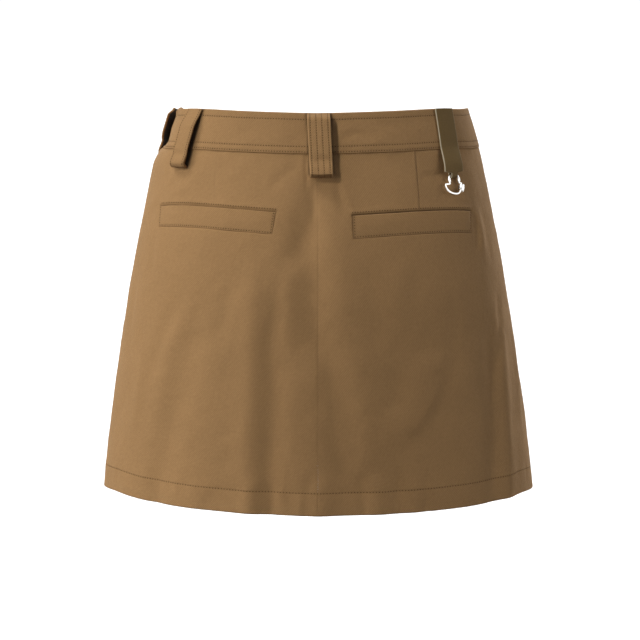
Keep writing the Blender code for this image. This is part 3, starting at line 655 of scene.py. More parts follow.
def panel_relief(bearing, drop):
    """Fine form of the panels: its height, and the painted shade in its grooves, along the welt mouths and
    under the loops.
    """
    to_foot = hem_drop(bearing) - drop
    degree = length_of_degree(bearing, drop)
    height = crease_height(CREASES, bearing, drop)
    height = height + rumple("panel", bearing, drop) + rumple("panel_fine", bearing, drop)
    shade = np.zeros(np.shape(bearing))

    for row in SEAMS:
        seam = named(SEAM_COLUMNS, row)
        distance = turned(bearing - seam["bearing"]) * degree
        below_fly = 1 - (seam["bearing"] == 180.0) * ease((FLY_FOOT + 0.010 - drop) / 0.008)
        cut, inside = groove(distance, seam["depth"] * below_fly, SEAM_HALF_WIDTH)
        pucker = seam["depth"] * 0.40 * value_noise(drop / 0.0075, seam["bearing"] + 0 * drop, 5)
        height = height + cut + pucker * bell(distance, 0.006)
        shade = np.maximum(shade, seam["shade"] * inside * below_fly)

    for row in DARTS:
        dart = named(DART_COLUMNS, row)
        share = (drop - BAND_HEIGHT) / (dart["foot_drop"] - BAND_HEIGHT)
        middle = dart["top_bearing"] + (dart["foot_bearing"] - dart["top_bearing"]) * share
        distance = turned(bearing - middle) * degree
        fade = ease((1.04 - share) / 0.10)
        cut, inside = groove(distance, dart["depth"], DART_HALF_WIDTH)
        beside = np.clip(distance * dart["side"] / DART_FOLD, 0, 1)
        raised = DART_RAISE * np.where(distance * dart["side"] > 0, 1 - ease(beside), 0)
        height = height + (cut + raised * dart["depth"] / DART_FULL_DEPTH) * fade
        shade = np.maximum(shade, inside * fade * dart["depth"] / DART_FULL_DEPTH)

    dip, mouth = welt_relief(bearing, drop)
    height, shade = height + dip, np.maximum(shade, mouth)

    cut, inside = groove(to_foot - HEM_ROW, GROOVE_DEPTH, GROOVE_HALF_WIDTH)
    reach = np.where(to_foot < HEM_ROW, 0.012, 0.005)
    pucker = puckers("hem", bearing) + puckers("hem_soft", bearing)
    height = height + cut + pucker * bell(to_foot - HEM_ROW, reach)
    shade = np.maximum(shade, 0.5 * inside)

    tug = puckers("below_band", bearing, 3.0) * bell(drop - BAND_HEIGHT, 0.008)
    # The cloth under the belt loops gets painted shade
    return height + tug, np.maximum(shade, painted_shade_under_loops(bearing, drop))


def fly_share(drop):
    """How much of the fly's lap is left at a drop: all of it above its foot, none below."""
    return ease((FLY_FOOT - drop) / FLY_END)


def rounded(distance, thickness):
    """Share of a cloth's thickness that is left this far in from a folded edge."""
    radius = thickness / 2
    short = np.clip(1 - distance / radius, 0, 1)
    return np.sqrt(np.clip(1 - short * short, 0, 1))


PANEL_CLOTH = 0.0010
PANEL_HEM_CLOTH = 0.0021
TUCK = 0.0003


def panel_walls(bearing, drop, laps=False):
    """Outer and inner points of a panel, and the painted shade of its grooves."""
    height, shade = panel_relief(bearing, drop)
    to_foot = hem_drop(bearing) - drop
    under_band = ease((BAND_HEIGHT + 0.0010 - drop) / 0.0010)
    height = height * (1 - under_band) - TUCK * under_band
    # A thin line of painted shade below the edge of the band
    shade = np.maximum(shade, 0.35 * bell(drop - BAND_HEIGHT, 0.0008))
    thickness = PANEL_CLOTH + (PANEL_HEM_CLOTH - PANEL_CLOTH) * ease((HEM_DEPTH - to_foot) / 0.0004)
    thickness = thickness - 0.0002 * under_band
    if laps:
        reach = np.radians(bearing - CENTRE_FRONT) * FRONT_RADIUS
        settled = ease((FLY_FOOT + FLY_SETTLE - drop) / FLY_SETTLE)
        height = height + FLY_LIFT * ease(1 - reach / FLY_RUN_IN) * settled
    left = rounded(to_foot, thickness)
    middle = height - thickness / 2
    outer, inner = on_cloth(bearing, drop, middle + thickness / 2 * left, middle - thickness / 2 * left)
    return outer, inner, shade


# ---------------------------------------------------------------- meshes


def spread(first, last, share):
    """Values from a first to a last, at these shares of the way, for every row of a grid."""
    first, last = np.asarray(first)[..., None], np.asarray(last)[..., None]
    return first + (last - first) * share


def stops(first, last, step, fine_places=(), fine_step=None, reach=None):
    """Values from first to last, a step apart, and finer near these places."""
    values = [first]
    while values[-1] < last:
        here = step
        for place in fine_places:
            near = math.exp(-(((values[-1] - place) / reach) ** 2))
            here = min(here, step - (step - fine_step) * near)
        values.append(values[-1] + here)
    values = np.array(values)
    return first + (values - first) * (last - first) / (values[-1] - first)


def edged(length, edge, inset, step, *fine):
    """Places across a strip, closest together by its two rounded edges."""
    edge = np.array(edge)
    return np.concatenate([edge, stops(inset, length - inset, step, *fine), length - edge[::-1]])


def cloth_places(points):
    """Where each point of a grid lies on the flat cloth, in metres across and down."""
    across = np.linalg.norm(np.diff(points, axis=1), axis=-1).cumsum(axis=1)
    across = np.concatenate([np.zeros((len(points), 1)), across], axis=1)
    across = across - across[:, [points.shape[1] // 2]]
    down = np.linalg.norm(np.diff(points, axis=0), axis=-1).cumsum(axis=0)
    down = np.concatenate([np.zeros((1, points.shape[1])), down], axis=0)
    return np.stack([across, down], axis=-1)


def add_object(name, data, finish, body="garment", node=None):
    made = bpy.data.objects.new(name, data)
    bpy.context.scene.collection.objects.link(made)
    data.materials.append(finish)
    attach(made, body)
    if node:
        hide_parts(node)
    return made


def make_mesh(name, points, faces, places=None, shade=None, sharp=40.0):
    """Mesh with its flat places as a map named cloth, and its painted shade, or on the strap its pale
    edges, as an attribute named groove.
    """
    mesh = bpy.data.meshes.new(name)
    mesh.from_pydata(points.tolist(), [], [face.tolist() for face in faces])
    mesh.shade_smooth()
    mesh.set_sharp_from_angle(angle=math.radians(sharp))
    if places is not None:
        corners = np.empty(len(mesh.loops), np.int32)
        mesh.loops.foreach_get("vertex_index", corners)
        layer = mesh.uv_layers.new(name="cloth")
        layer.data.foreach_set("uv", places[corners].astype(np.float32).ravel())
    values = np.zeros(len(points)) if shade is None else shade
    attribute = mesh.attributes.new("groove", "FLOAT", "POINT")
    attribute.data.foreach_set("value", values.astype(np.float32))
    return mesh


def grid_faces(numbers):
    """Faces of a grid of point numbers: each from its own corner, to the next in its row, and down."""
    corners = numbers[..., :-1, :-1], numbers[..., :-1, 1:], numbers[..., 1:, 1:], numbers[..., 1:, :-1]
    return np.stack(corners, axis=-1).reshape(-1, 4)


def closed(numbers, axis=-1):
    """The grid with its first column, or row, once more at its end."""
    return np.concatenate([numbers, np.take(numbers, [0], axis)], axis)


def wall_mesh(name, outer, inner, shade, inner_painted_shade=0.0):
    """Closed wall between an outer and an inner grid of the same rows and columns."""
    count = outer.shape[0] * outer.shape[1]
    grid = np.arange(count).reshape(outer.shape[:2])
    front = grid_faces(grid)
    rim = np.concatenate([grid[0], grid[1:, -1], grid[-1, -2::-1], grid[-2:0:-1, 0]])
    after = np.roll(rim, -1)
    edge = np.stack([after, rim, rim + count, after + count], axis=-1)
    faces = np.concatenate([front, front[:, ::-1] + count, edge])
    points = np.concatenate([outer.reshape(-1, 3), inner.reshape(-1, 3)])
    middle = front[len(front) // 2]
    corner = points[middle]
    out = np.cross(corner[1] - corner[0], corner[3] - corner[0])
    if out @ (points[middle[0]] - points[middle[0] + count]) < 0:
        faces = faces[:, ::-1]
    places = cloth_places(outer).reshape(-1, 2)
    shades = np.concatenate([shade.ravel(), np.broadcast_to(inner_painted_shade, grid.shape).ravel()])
    return make_mesh(name, points, faces, np.concatenate([places, places]), shades)


def add_cloth(name, outer, inner, shade, inner_painted_shade=0.0):
    """Wall of twill that stands for a node of the solids."""
    mesh = wall_mesh(name + "_cloth", outer, inner, shade, inner_painted_shade)
    return add_object(name + "_cloth", mesh, TWILL, node=name)


# ---------------------------------------------------------------- materials


def node(tree, kind, inputs=None, **settings):
    """Shader node with its settings, and its inputs set to values or joined to other nodes."""
    made = tree.nodes.new("ShaderNode" + kind)
    for name, value in settings.items():
        setattr(made, name, value)
    for name, value in (inputs or {}).items():
        socket = made.inputs[name]
        if isinstance(value, bpy.types.NodeSocket):
            tree.links.new(value, socket)
        else:
            socket.default_value = value
    return made


def maths(tree, operation, *values, clamp=False):
    made = node(tree, "Math", dict(enumerate(values)), operation=operation, use_clamp=clamp)
    return made.outputs[0]


def noise(tree, scale, detail=2.0, place=None, stretch=None, roughness=0.5, slant=0.0):
    """Noise between 0 and 1 over the object's own coordinates, or over a given place.

    A stretch gives the bumps to a metre along each axis, after a turn by the slant.
    """
    if place is None:
        place = node(tree, "TexCoord").outputs["Object"]
    if stretch is not None:
        sizes = {"Vector": place, "Rotation": (0.0, 0.0, slant), "Scale": [1 / share for share in stretch]}
        place = node(tree, "Mapping", sizes, vector_type="TEXTURE").outputs[0]
    settings = {"Vector": place, "Scale": scale, "Detail": detail, "Roughness": roughness}
    return node(tree, "TexNoise", settings).outputs[0]


def flat_place(tree):
    """Place on the flat cloth, and its parts across and down."""
    place = node(tree, "UVMap", uv_map="cloth").outputs[0]
    parts = node(tree, "SeparateXYZ", {0: place})
    return place, parts.outputs[0], parts.outputs[1]


# Painted shade of grooves, seams, welt mouths and belt loops, and the strap's pale edges, as kept on each
# mesh
def painted_shade_and_pale_edges(tree):
    return node(tree, "Attribute", attribute_name="groove").outputs["Fac"]


def half_wave(tree, share):
    return maths(tree, "SINE", maths(tree, "MULTIPLY", share, math.pi))


def varied(tree, shade, by, swing, base):
    """A shade times a base that swings with another value."""
    return maths(tree, "MULTIPLY", shade, maths(tree, "MULTIPLY_ADD", by, swing, base))


def darkened(tree, tone, shade):
    grey = node(tree, "CombineColor", {0: shade, 1: shade, 2: shade}).outputs[0]
    return blend_colours(tree, 1.0, tone, grey, "MULTIPLY")


def blend_colours(tree, share, low, high, kind="MIX"):
    made = node(tree, "Mix", {0: share}, data_type="RGBA", blend_type=kind)
    for index, colour in ((6, low), (7, high)):
        if isinstance(colour, bpy.types.NodeSocket):
            tree.links.new(colour, made.inputs[index])
        else:
            made.inputs[index].default_value = (*colour, 1.0)
    return made.outputs[2]


def scaled(colour, share):
    return tuple(min(1.0, part * share) for part in colour)


def new_material(name, roughness, metallic=0.0, **sockets):
    made = bpy.data.materials.new(name)
    made.use_nodes = True
    tree = made.node_tree
    shader = tree.nodes["Principled BSDF"]
    shader.inputs["Roughness"].default_value = roughness
    shader.inputs["Metallic"].default_value = metallic
    for socket, value in sockets.items():
        shader.inputs[socket.replace("_", " ")].default_value = value
    return made, tree, shader


def bump(tree, shader, height, distance, strength=1.0, before=None):
    settings = {"Height": height, "Distance": distance, "Strength": strength}
    made = node(tree, "Bump", settings)
    if before is not None:
        tree.links.new(before.outputs[0], made.inputs["Normal"])
    tree.links.new(made.outputs[0], shader.inputs["Normal"])
    return made


WARP_PITCH = 0.00064
WEFT_PITCH = 0.00068
# Height of the flatter weft yarns beside the warp yarns
WEFT_SHARE = 0.55
# Uneven wales of the twill: bumps to a metre across and along them, and their slant and height
WALE_STRETCH = (620.0, 230.0)
WALE_SLANT = math.radians(-45.0)
WALE_HEIGHT = 0.00012


def twill_height(tree, across, down):
    """Height of a two-and-one twill: warp yarns float over two weft yarns and under one."""
    warp = maths(tree, "DIVIDE", across, WARP_PITCH)
    weft = maths(tree, "DIVIDE", down, WEFT_PITCH)
    shifted = maths(tree, "SUBTRACT", weft, maths(tree, "FLOOR", warp))
    phase = maths(tree, "FRACT", maths(tree, "DIVIDE", shifted, 3.0))
    over = half_wave(tree, maths(tree, "MINIMUM", maths(tree, "MULTIPLY", phase, 1.5), 1.0))
    warp_height = maths(tree, "MULTIPLY", over, half_wave(tree, maths(tree, "FRACT", warp)))
    under = maths(tree, "SUBTRACT", 1.0, over)
    round_weft = half_wave(tree, maths(tree, "FRACT", weft))
    weft_height = maths(tree, "MULTIPLY", maths(tree, "MULTIPLY", under, round_weft), WEFT_SHARE)
    return maths(tree, "MAXIMUM", warp_height, weft_height)


def twill_material(name, colour):
    """Brown cotton twill: a woven face, uneven slanting wales, fibres and streaks, with painted shade in
    its grooves and seams, along the welt mouths and on and under the belt loops.
    """
    made, tree, shader = new_material(
        name, 0.88, Sheen_Weight=0.05, Sheen_Roughness=0.5, Specular_IOR_Level=0.15,
    )
    shader.inputs["Sheen Tint"].default_value = (1.0, 0.84, 0.62, 1.0)
    place, across, down = flat_place(tree)
    wander = maths(tree, "MULTIPLY", maths(tree, "SUBTRACT", noise(tree, 60.0, 1.0), 0.5), 0.0016)
    weave = twill_height(tree, maths(tree, "ADD", across, wander), down)
    fibre = noise(tree, 2600.0, 3.0)
    wales = noise(tree, 1.0, 2.0, place=place, stretch=(*WALE_STRETCH, 1.0), slant=WALE_SLANT)
    slub = noise(tree, 1.0, 2.0, place=place, stretch=(2200.0, 160.0, 1.0))
    weft_slub = noise(tree, 1.0, 2.0, place=place, stretch=(140.0, 1900.0, 1.0))
    # Darker where the weave dips between the yarns: painted shade
    tone = blend_colours(tree, weave, scaled(colour, 0.52), scaled(colour, 1.24))
    tone = blend_colours(tree, maths(tree, "MULTIPLY", fibre, 0.30), tone, scaled(colour, 0.72))
    streaks = maths(tree, "MULTIPLY", maths(tree, "ADD", slub, weft_slub), 0.5)
    shade = maths(tree, "MULTIPLY_ADD", streaks, 0.26, 0.87)
    shade = varied(tree, shade, noise(tree, 22.0, 3.0), 0.14, 0.93)
    shade = varied(tree, shade, wales, 0.24, 0.88)
    # Painted shade from the mesh's groove attribute
    shade = varied(tree, shade, painted_shade_and_pale_edges(tree), -0.46, 1.0)
    tree.links.new(darkened(tree, tone, shade), shader.inputs["Base Color"])
    uneven = maths(tree, "ADD", noise(tree, 95.0, 3.0), maths(tree, "MULTIPLY", fibre, 0.03))
    soft = bump(tree, shader, uneven, 0.0011, 0.60)
    slanting = bump(tree, shader, wales, WALE_HEIGHT, 1.0, before=soft)
    bump(tree, shader, weave, 0.00016, 0.55, before=slanting)
    return made


def thread_material():
    """Sewing thread, with its twist as a fine ripple, with painted shade where it dips into the cloth and
    on the beads over the needle holes.
    """
    made, tree, shader = new_material("thread", 0.85, Specular_IOR_Level=0.10)
    fibre = noise(tree, 3000.0, 2.0)
    tone = blend_colours(tree, fibre, scaled(THREAD_BROWN, 0.66), scaled(THREAD_BROWN, 1.02))
    tone = blend_colours(tree, painted_shade_and_pale_edges(tree), tone, scaled(THREAD_BROWN, 0.16))
    tree.links.new(tone, shader.inputs["Base Color"])
    bump(tree, shader, fibre, 0.00006, 0.5)
    return made


def jersey_material():
    """Thin jersey: columns of small loops, darker in their hollows, with painted shade along the hem
    stitching.
    """
    made, tree, shader = new_material("jersey", 0.82, Sheen_Weight=0.20, IOR=1.42)
    _, across, down = flat_place(tree)
    wale = maths(tree, "DIVIDE", across, 0.00075)
    side = maths(tree, "ABSOLUTE", maths(tree, "SUBTRACT", maths(tree, "FRACT", wale), 0.5))
    course = maths(tree, "ADD", maths(tree, "DIVIDE", down, 0.00060), side)
    loop = maths(tree, "ABSOLUTE", half_wave(tree, course))
    column_round = maths(tree, "SINE", maths(tree, "MULTIPLY", side, math.tau))
    height = maths(tree, "MULTIPLY", loop, maths(tree, "ADD", column_round, 0.25))
    # Darker where the knit dips: painted shade
    tone = blend_colours(tree, height, scaled(JERSEY_BROWN, 0.72), scaled(JERSEY_BROWN, 1.12))
    cloud = maths(tree, "MULTIPLY_ADD", noise(tree, 30.0, 2.0), 0.16, 0.92)
    cloud = varied(tree, cloud, painted_shade_and_pale_edges(tree), -0.35, 1.0)
    tree.links.new(darkened(tree, tone, cloud), shader.inputs["Base Color"])
    soft = bump(tree, shader, noise(tree, 80.0, 3.0), 0.0006, 0.4)
    bump(tree, shader, height, 0.00015, 0.5, before=soft)
    return made


def strap_material():
    """Smooth coated tape with pale cut edges and faint ribs across it. The edge that faces the key light
    is painted paler, a painted highlight.
    """
    made, tree, shader = new_material("strap_tape", 0.80, Specular_IOR_Level=0.08)
    down = flat_place(tree)[2]
    rib = maths(tree, "SINE", maths(tree, "MULTIPLY", down, math.tau / 0.0009))
    fibre = noise(tree, 900.0, 3.0)
    tone = blend_colours(tree, fibre, scaled(STRAP_OLIVE, 0.80), scaled(STRAP_OLIVE, 1.18))
    tone = blend_colours(tree, painted_shade_and_pale_edges(tree), tone, STRAP_EDGE)
    tree.links.new(tone, shader.inputs["Base Color"])
    soft = bump(tree, shader, fibre, 0.0002, 0.35)
    bump(tree, shader, rib, 0.00006, 0.4, before=soft)
    return made


def metal_material():
    """Polished nickel with faint scratches."""
    made, tree, shader = new_material("nickel", 0.2, metallic=1.0)
    shader.inputs["Base Color"].default_value = (*NICKEL, 1.0)
    scratch = noise(tree, 700.0, 4.0, stretch=(1.0, 1.0, 0.2))
    tree.links.new(maths(tree, "MULTIPLY_ADD", scratch, 0.24, 0.20), shader.inputs["Roughness"])
    bump(tree, shader, scratch, 0.00003, 0.3)
    return made


def button_material():
    """Horn-coloured plastic, marbled."""
    made, tree, shader = new_material("horn", 0.34, IOR=1.5, Coat_Weight=0.25)
    swirl = noise(tree, 180.0, 5.0, stretch=(1.0, 2.6, 1.0), roughness=0.6)
    share = node(tree, "MapRange", {0: swirl, 1: 0.35, 2: 0.68}).outputs[0]
    tone = blend_colours(tree, share, HORN_DARK, HORN_LIGHT)
    tree.links.new(tone, shader.inputs["Base Color"])
    bump(tree, shader, noise(tree, 1400.0, 2.0), 0.00004, 0.4)
    return made


TWILL = twill_material("twill", TWILL_BROWN)
THREAD_FINISH = thread_material()
JERSEY_FINISH = jersey_material()
STRAP_FINISH = strap_material()
METAL = metal_material()
HORN = button_material()


# ---------------------------------------------------------------- stitches


STITCH_SIDES = 6
STITCH_STATIONS = np.array([0.03, 0.24, 0.76, 0.97])
STITCH_HEIGHTS = np.array([-0.00016, 0.00010, 0.00010, -0.00016])
STITCH_SIZES = np.array([0.55, 1.0, 1.0, 0.55])
# Painted shade at the ends of each stitch, where the thread dips into the cloth
STITCH_PAINTED_SHADES = np.array([0.8, 0.0, 0.0, 0.8])
# Beads over the needle holes, painted dark as the shadow in each hole
HOLE_HALF_LENGTH = 0.00044
HOLE_HALF_WIDTH = 0.00046
HOLE_PROUD = 0.00020


def rings_and_hole_shadows(place, out, along, thread):
    """Rings of points along each stitch, and a flat dark bead over each needle hole as its painted shadow.
    """
    beside = unit(np.cross(out, along))
    turn = np.arange(STITCH_SIDES) * math.tau / STITCH_SIDES
    size = thread * STITCH_SIZES[:, None, None]
    ring = out[..., None, :] * (np.cos(turn)[:, None] * 0.8 * size)
    ring = ring + beside[..., None, :] * (np.sin(turn)[:, None] * size)
    rings = (place + out * STITCH_HEIGHTS[:, None])[..., None, :] + ring
    at, up = (place[:, 0] - along[:, 0] * STITCH_GAP * STITCH / 2)[:, None], out[:, 0][:, None]
    rim = at + along[:, 0][:, None] * (np.cos(turn) * HOLE_HALF_LENGTH)[:, None]
    rim = rim + beside[:, 0][:, None] * (np.sin(turn) * HOLE_HALF_WIDTH)[:, None]
    beads = [at + up * HOLE_PROUD, rim + up * HOLE_PROUD * 0.4, at - up * HOLE_PROUD]
    beads = np.concatenate(beads, axis=1)
    return rings, beads


def read_line(at, run, values):
    """Vectors along a line, read at these lengths of it."""
    return np.stack([np.interp(at, run, values[:, axis]) for axis in range(3)], axis=-1)


def stitch_parts(points, normals, pitch, thread):
    """Points, faces and painted shades of a row of stitches along a line that lies on cloth."""
    run = np.concatenate([[0], np.linalg.norm(np.diff(points, axis=0), axis=1).cumsum()])
    count = max(1, round(run[-1] / pitch))
    share = STITCH_GAP / 2 + (1 - STITCH_GAP) * STITCH_STATIONS
    at = (np.arange(count)[:, None] + share) * (run[-1] / count)
    out = unit(read_line(at, run, normals))
    along = read_line(at, run, unit(np.gradient(points, run, axis=0)))
    rings, beads = rings_and_hole_shadows(read_line(at, run, points), out, along, thread)
    number = np.arange(rings.size // 3).reshape(rings.shape[:3])
    bead = np.arange(beads.size // 3).reshape(beads.shape[:2]) + number.size
    rim, next_rim = bead[:, 1:-1], np.roll(bead[:, 1:-1], -1, axis=1)
    top, foot = np.broadcast_to(bead[:, :1], rim.shape), np.broadcast_to(bead[:, -1:], rim.shape)
    faces = [*grid_faces(closed(number))[:, [0, 3, 2, 1]], *number[:, 0], *number[:, -1, ::-1]]
    faces += [*np.stack([top, rim, next_rim], axis=-1).reshape(-1, 3)]
    faces += [*np.stack([foot, next_rim, rim], axis=-1).reshape(-1, 3)]
    shades = np.broadcast_to(STITCH_PAINTED_SHADES[:, None], number.shape).ravel()
    made = np.concatenate([rings.reshape(-1, 3), beads.reshape(-1, 3)])
    return made, faces, np.concatenate([shades, np.ones(bead.size)])


def add_stitches(name, lines, pitch=STITCH, thread=THREAD):
    """One piece of all the stitches along these lines, each given as points and normals."""
    points, faces, shades, count = [], [], [], 0
    for line in lines:
        made_points, made_faces, made_shades = stitch_parts(*line, pitch, thread)
        points.append(made_points)
        faces += [face + count for face in made_faces]
        shades.append(made_shades)
        count += len(made_points)
    mesh = make_mesh(name, np.concatenate(points), faces, shade=np.concatenate(shades), sharp=75.0)
    add_object(name, mesh, THREAD_FINISH)


def line_on(walls):
    """Points and normals of a line from the outer and inner points of a wall."""
    outer, inner = walls[0], walls[1]
    return outer, unit(outer - inner)


# ---------------------------------------------------------------- skirt


PANEL_STEP = 0.86
PANEL_FINE_STEP = 0.22
PANEL_FINE_REACH = 1.1
PANEL_ROW = 0.0021
PANEL_FINE_ROW = 0.0006
PANEL_FINE_ROW_REACH = 0.0028
# Seams, darts and ends of the welts, and edges of the welts: the grid is finer there
FINE_BEARINGS = (0.0, 90.0, -90.0, -34.8, 36.3, 13.8, -11.0, 61.4, -57.4)
WELT_DROPS = (0.0852, 0.0872, 0.1040, 0.1070)
# Heights above the hem edge of a panel's last rows
HEM_ROWS = np.array([
    0.0212, 0.0209, 0.0206, 0.0201, 0.0196, 0.0190, 0.0182, 0.0165, 0.0145, 0.0122,
    0.0098, 0.0075, 0.0052, 0.0033, 0.0019, 0.0010, 0.0005, 0.00015, 0.00001,
])
# Half the gap between two pieces that are sewn together
HALF_GAP = 0.00002


def panel_grid(first, last, laps):
    """Bearings and drops of a panel's grid, finer along its seams and rows of stitches."""
    fine = [place for place in FINE_BEARINGS if first <= place <= last]
    columns = stops(first, last, PANEL_STEP, [*fine, first, last], PANEL_FINE_STEP, PANEL_FINE_REACH)
    share = (columns - first) / (last - first)
    hem_top = float(hem_drop(np.array((first + last) / 2))) - HEM_DEPTH
    top = BAND_HEIGHT - 0.0030
    behind = abs(first + last) < 180
    places = [BAND_HEIGHT + 0.0004, *(WELT_DROPS if behind else ())]
    rows = stops(top, hem_top, PANEL_ROW, places, PANEL_FINE_ROW, PANEL_FINE_ROW_REACH)
    rows = (rows - top) / (hem_top - top)
    foot = hem_drop(columns)
    drops = top + (foot - HEM_DEPTH - 0.0004 - top) * rows[:, None]
    drops = np.concatenate([drops, foot - HEM_ROWS[:, None]])
    lap = FLY_LAP * fly_share(drops[:, 0]) if laps else 0.0
    start = first + (HALF_GAP - lap) / length_of_degree(first, drops[:, 0])
    end = last - HALF_GAP / length_of_degree(last, drops[:, -1])
    return spread(start, end, share), drops


def add_panel(name, first, last, laps=False):
    bearings, drops = panel_grid(first, last, laps)
    piece = add_cloth(name, *panel_walls(bearings, drops, laps))


def build_panels():
    add_panel("back_left", 0.0, 90.0)
    add_panel("back_right", -90.0, 0.0)
    add_panel("front_left", 90.0, 180.0)
    add_panel("front_right", CENTRE_FRONT, -90.0, laps=True)
    bearings = np.arange(-180.0, 180.01, 0.35)
    hem = line_on(panel_walls(bearings, hem_drop(bearings) - HEM_ROW))
    add_stitches("hem_stitches", [hem], HEM_STITCH)


FLY_EDGE_INSET = 0.0018
FLY_ROW_INSETS = (0.0, 0.0060)


def build_fly_stitches():
    """Edge stitching of the fly and its two curved outer rows, on the wearer's right."""
    top = BAND_HEIGHT + 0.0015
    drops = np.arange(top, FLY_FOOT - FLY_END, 0.002)
    edge = CENTRE_FRONT + (FLY_EDGE_INSET - FLY_LAP) / length_of_degree(CENTRE_FRONT, drops)
    straight = np.arange(top, FLY_FOOT - FLY_WIDTH, 0.002)
    turns = np.radians(np.arange(0.0, 90.1, 5.0))[1:]
    across = np.concatenate([np.full(len(straight), FLY_WIDTH), FLY_WIDTH * np.cos(turns)]) - 0.0005
    fly_drops = np.concatenate([straight, FLY_FOOT - FLY_WIDTH + FLY_WIDTH * np.sin(turns)])
    lines = [line_on(panel_walls(edge, drops, laps=True))]
    for inset in FLY_ROW_INSETS:
        reach = np.maximum(across - inset, 0.0)
        bearings = CENTRE_FRONT + reach / length_of_degree(CENTRE_FRONT, fly_drops)
        lines.append(line_on(panel_walls(bearings, fly_drops, laps=True)))
    add_stitches("fly_stitches", lines)


# ---------------------------------------------------------------- waistband


BAND_EDGE = np.array([0.00002, 0.00015, 0.0004, 0.0008, 0.0012])
BAND_FOOT_EDGE = np.array([0.0008, 0.0004, 0.00012, 0.00001])
BAND_SEAM_DEGREE = 0.0023


def band_walls(bearing, drop, laps=False):
    """Outer and inner points of the band, and its painted shade. Where it laps, its end is raised."""
    bearing, drop = np.broadcast_arrays(np.asarray(bearing, float), np.asarray(drop, float))
    height = crease_height(BAND_CREASES, bearing, drop) + rumple("band", bearing, drop)
    shade = np.zeros(bearing.shape)
    for row in BAND_ROWS:
        cut, inside = groove(drop - row, GROOVE_DEPTH * 0.8, GROOVE_HALF_WIDTH)
        height = height + cut + puckers("band", bearing, row * 900) * bell(drop - row, 0.003)
        shade = np.maximum(shade, 0.45 * inside)
    for seam in (90.0, -90.0):
        cut, inside = groove(turned(bearing - seam) * BAND_SEAM_DEGREE, 0.0004, 0.0008)
        height, shade = height + cut, np.maximum(shade, 0.5 * inside)
    # The band under the belt loops gets painted shade
    shade = np.maximum(shade, painted_shade_under_loops(bearing, drop))
    if laps:
        reach = np.radians(bearing - CENTRE_FRONT) * FRONT_RADIUS - BAND_LAP
        height = height + BAND_LIFT * ease(1 - reach / BAND_RUN_IN)
    left = rounded(drop, BAND_CLOTH) * (0.35 + 0.65 * rounded(BAND_HEIGHT - drop, 0.0016))
    middle = BAND_PROUD + height - BAND_CLOTH / 2
    outer, inner = on_cloth(bearing, drop, middle + BAND_CLOTH / 2 * left, middle - BAND_CLOTH / 2 * left)
    return outer, inner, shade


def add_band(name, first, last, over=False, under=False):
    """A length of waistband. One end may lap over or under the other band at the centre front."""
    columns = stops(first, last, 0.9, [first, last, 90.0, -90.0], 0.3, 1.2)
    share = (columns - first) / (last - first)
    inside = stops(0.0018, BAND_HEIGHT - 0.0014, 0.0016, BAND_ROWS, 0.0005, 0.0016)
    drops = np.concatenate([BAND_EDGE, inside, BAND_HEIGHT - BAND_FOOT_EDGE])
    start = first + (-BAND_LAP if over else HALF_GAP) / length_of_degree(first, drops)
    end = last + (BAND_LAP if under else -HALF_GAP) / length_of_degree(last, drops)
    bearings = spread(start, end, share)
    piece = add_cloth(name, *band_walls(bearings, drops[:, None], over))


def build_band():
    add_band("band_back", -90.0, 90.0)
    add_band("band_front_left", 90.0, 180.0, under=True)
    add_band("band_front_right", CENTRE_FRONT, -90.0, over=True)
    over_edge = BAND_LAP / float(length_of_degree(CENTRE_FRONT, 0.02))
    first = CENTRE_FRONT - over_edge + 1.0
    lines = []
    for row in BAND_ROWS:
        lines.append(line_on(band_walls(np.arange(first, -89.9, 0.4), row, laps=True)))
        lines.append(line_on(band_walls(np.arange(-90.0, 179.0 - over_edge, 0.4), row)))
    upright = np.arange(BAND_ROWS[0], BAND_ROWS[-1] + 0.0001, 0.002)
    lines.append(line_on(band_walls(first, upright, laps=True)))
    add_stitches("band_stitches", lines)


# ---------------------------------------------------------------- belt loops


def rest_lift(drop):
    """Lift at which a strip lies on the band, and below it on the panel."""
    below_band = ease((drop - BAND_HEIGHT - 0.001) / 0.006)
    return LOOP_REST + BAND_PROUD * (1 - below_band)


def loop_middle(loop, across, down):
    """Drop, lift and thickness of a loop's middle layer."""
    top = LOOP_REST - loop["top_rise"]
    drop = top + (loop["length"] + loop["top_rise"]) * down
    bow = loop["stand_off"] * ease(down / loop["rise"]) * ease((loop["end"] - down) / loop["fall"])
    foot = ease((drop - loop["length"] + LOOP_FOOT + LOOP_FOOT_STEP) / LOOP_FOOT_STEP)
    cloth = LOOP_CLOTH + (LOOP_FOOT_CLOTH - LOOP_CLOTH) * foot
    return drop, rest_lift(drop) + cloth / 2 + bow * (1 - loop["tilt"] * across), cloth


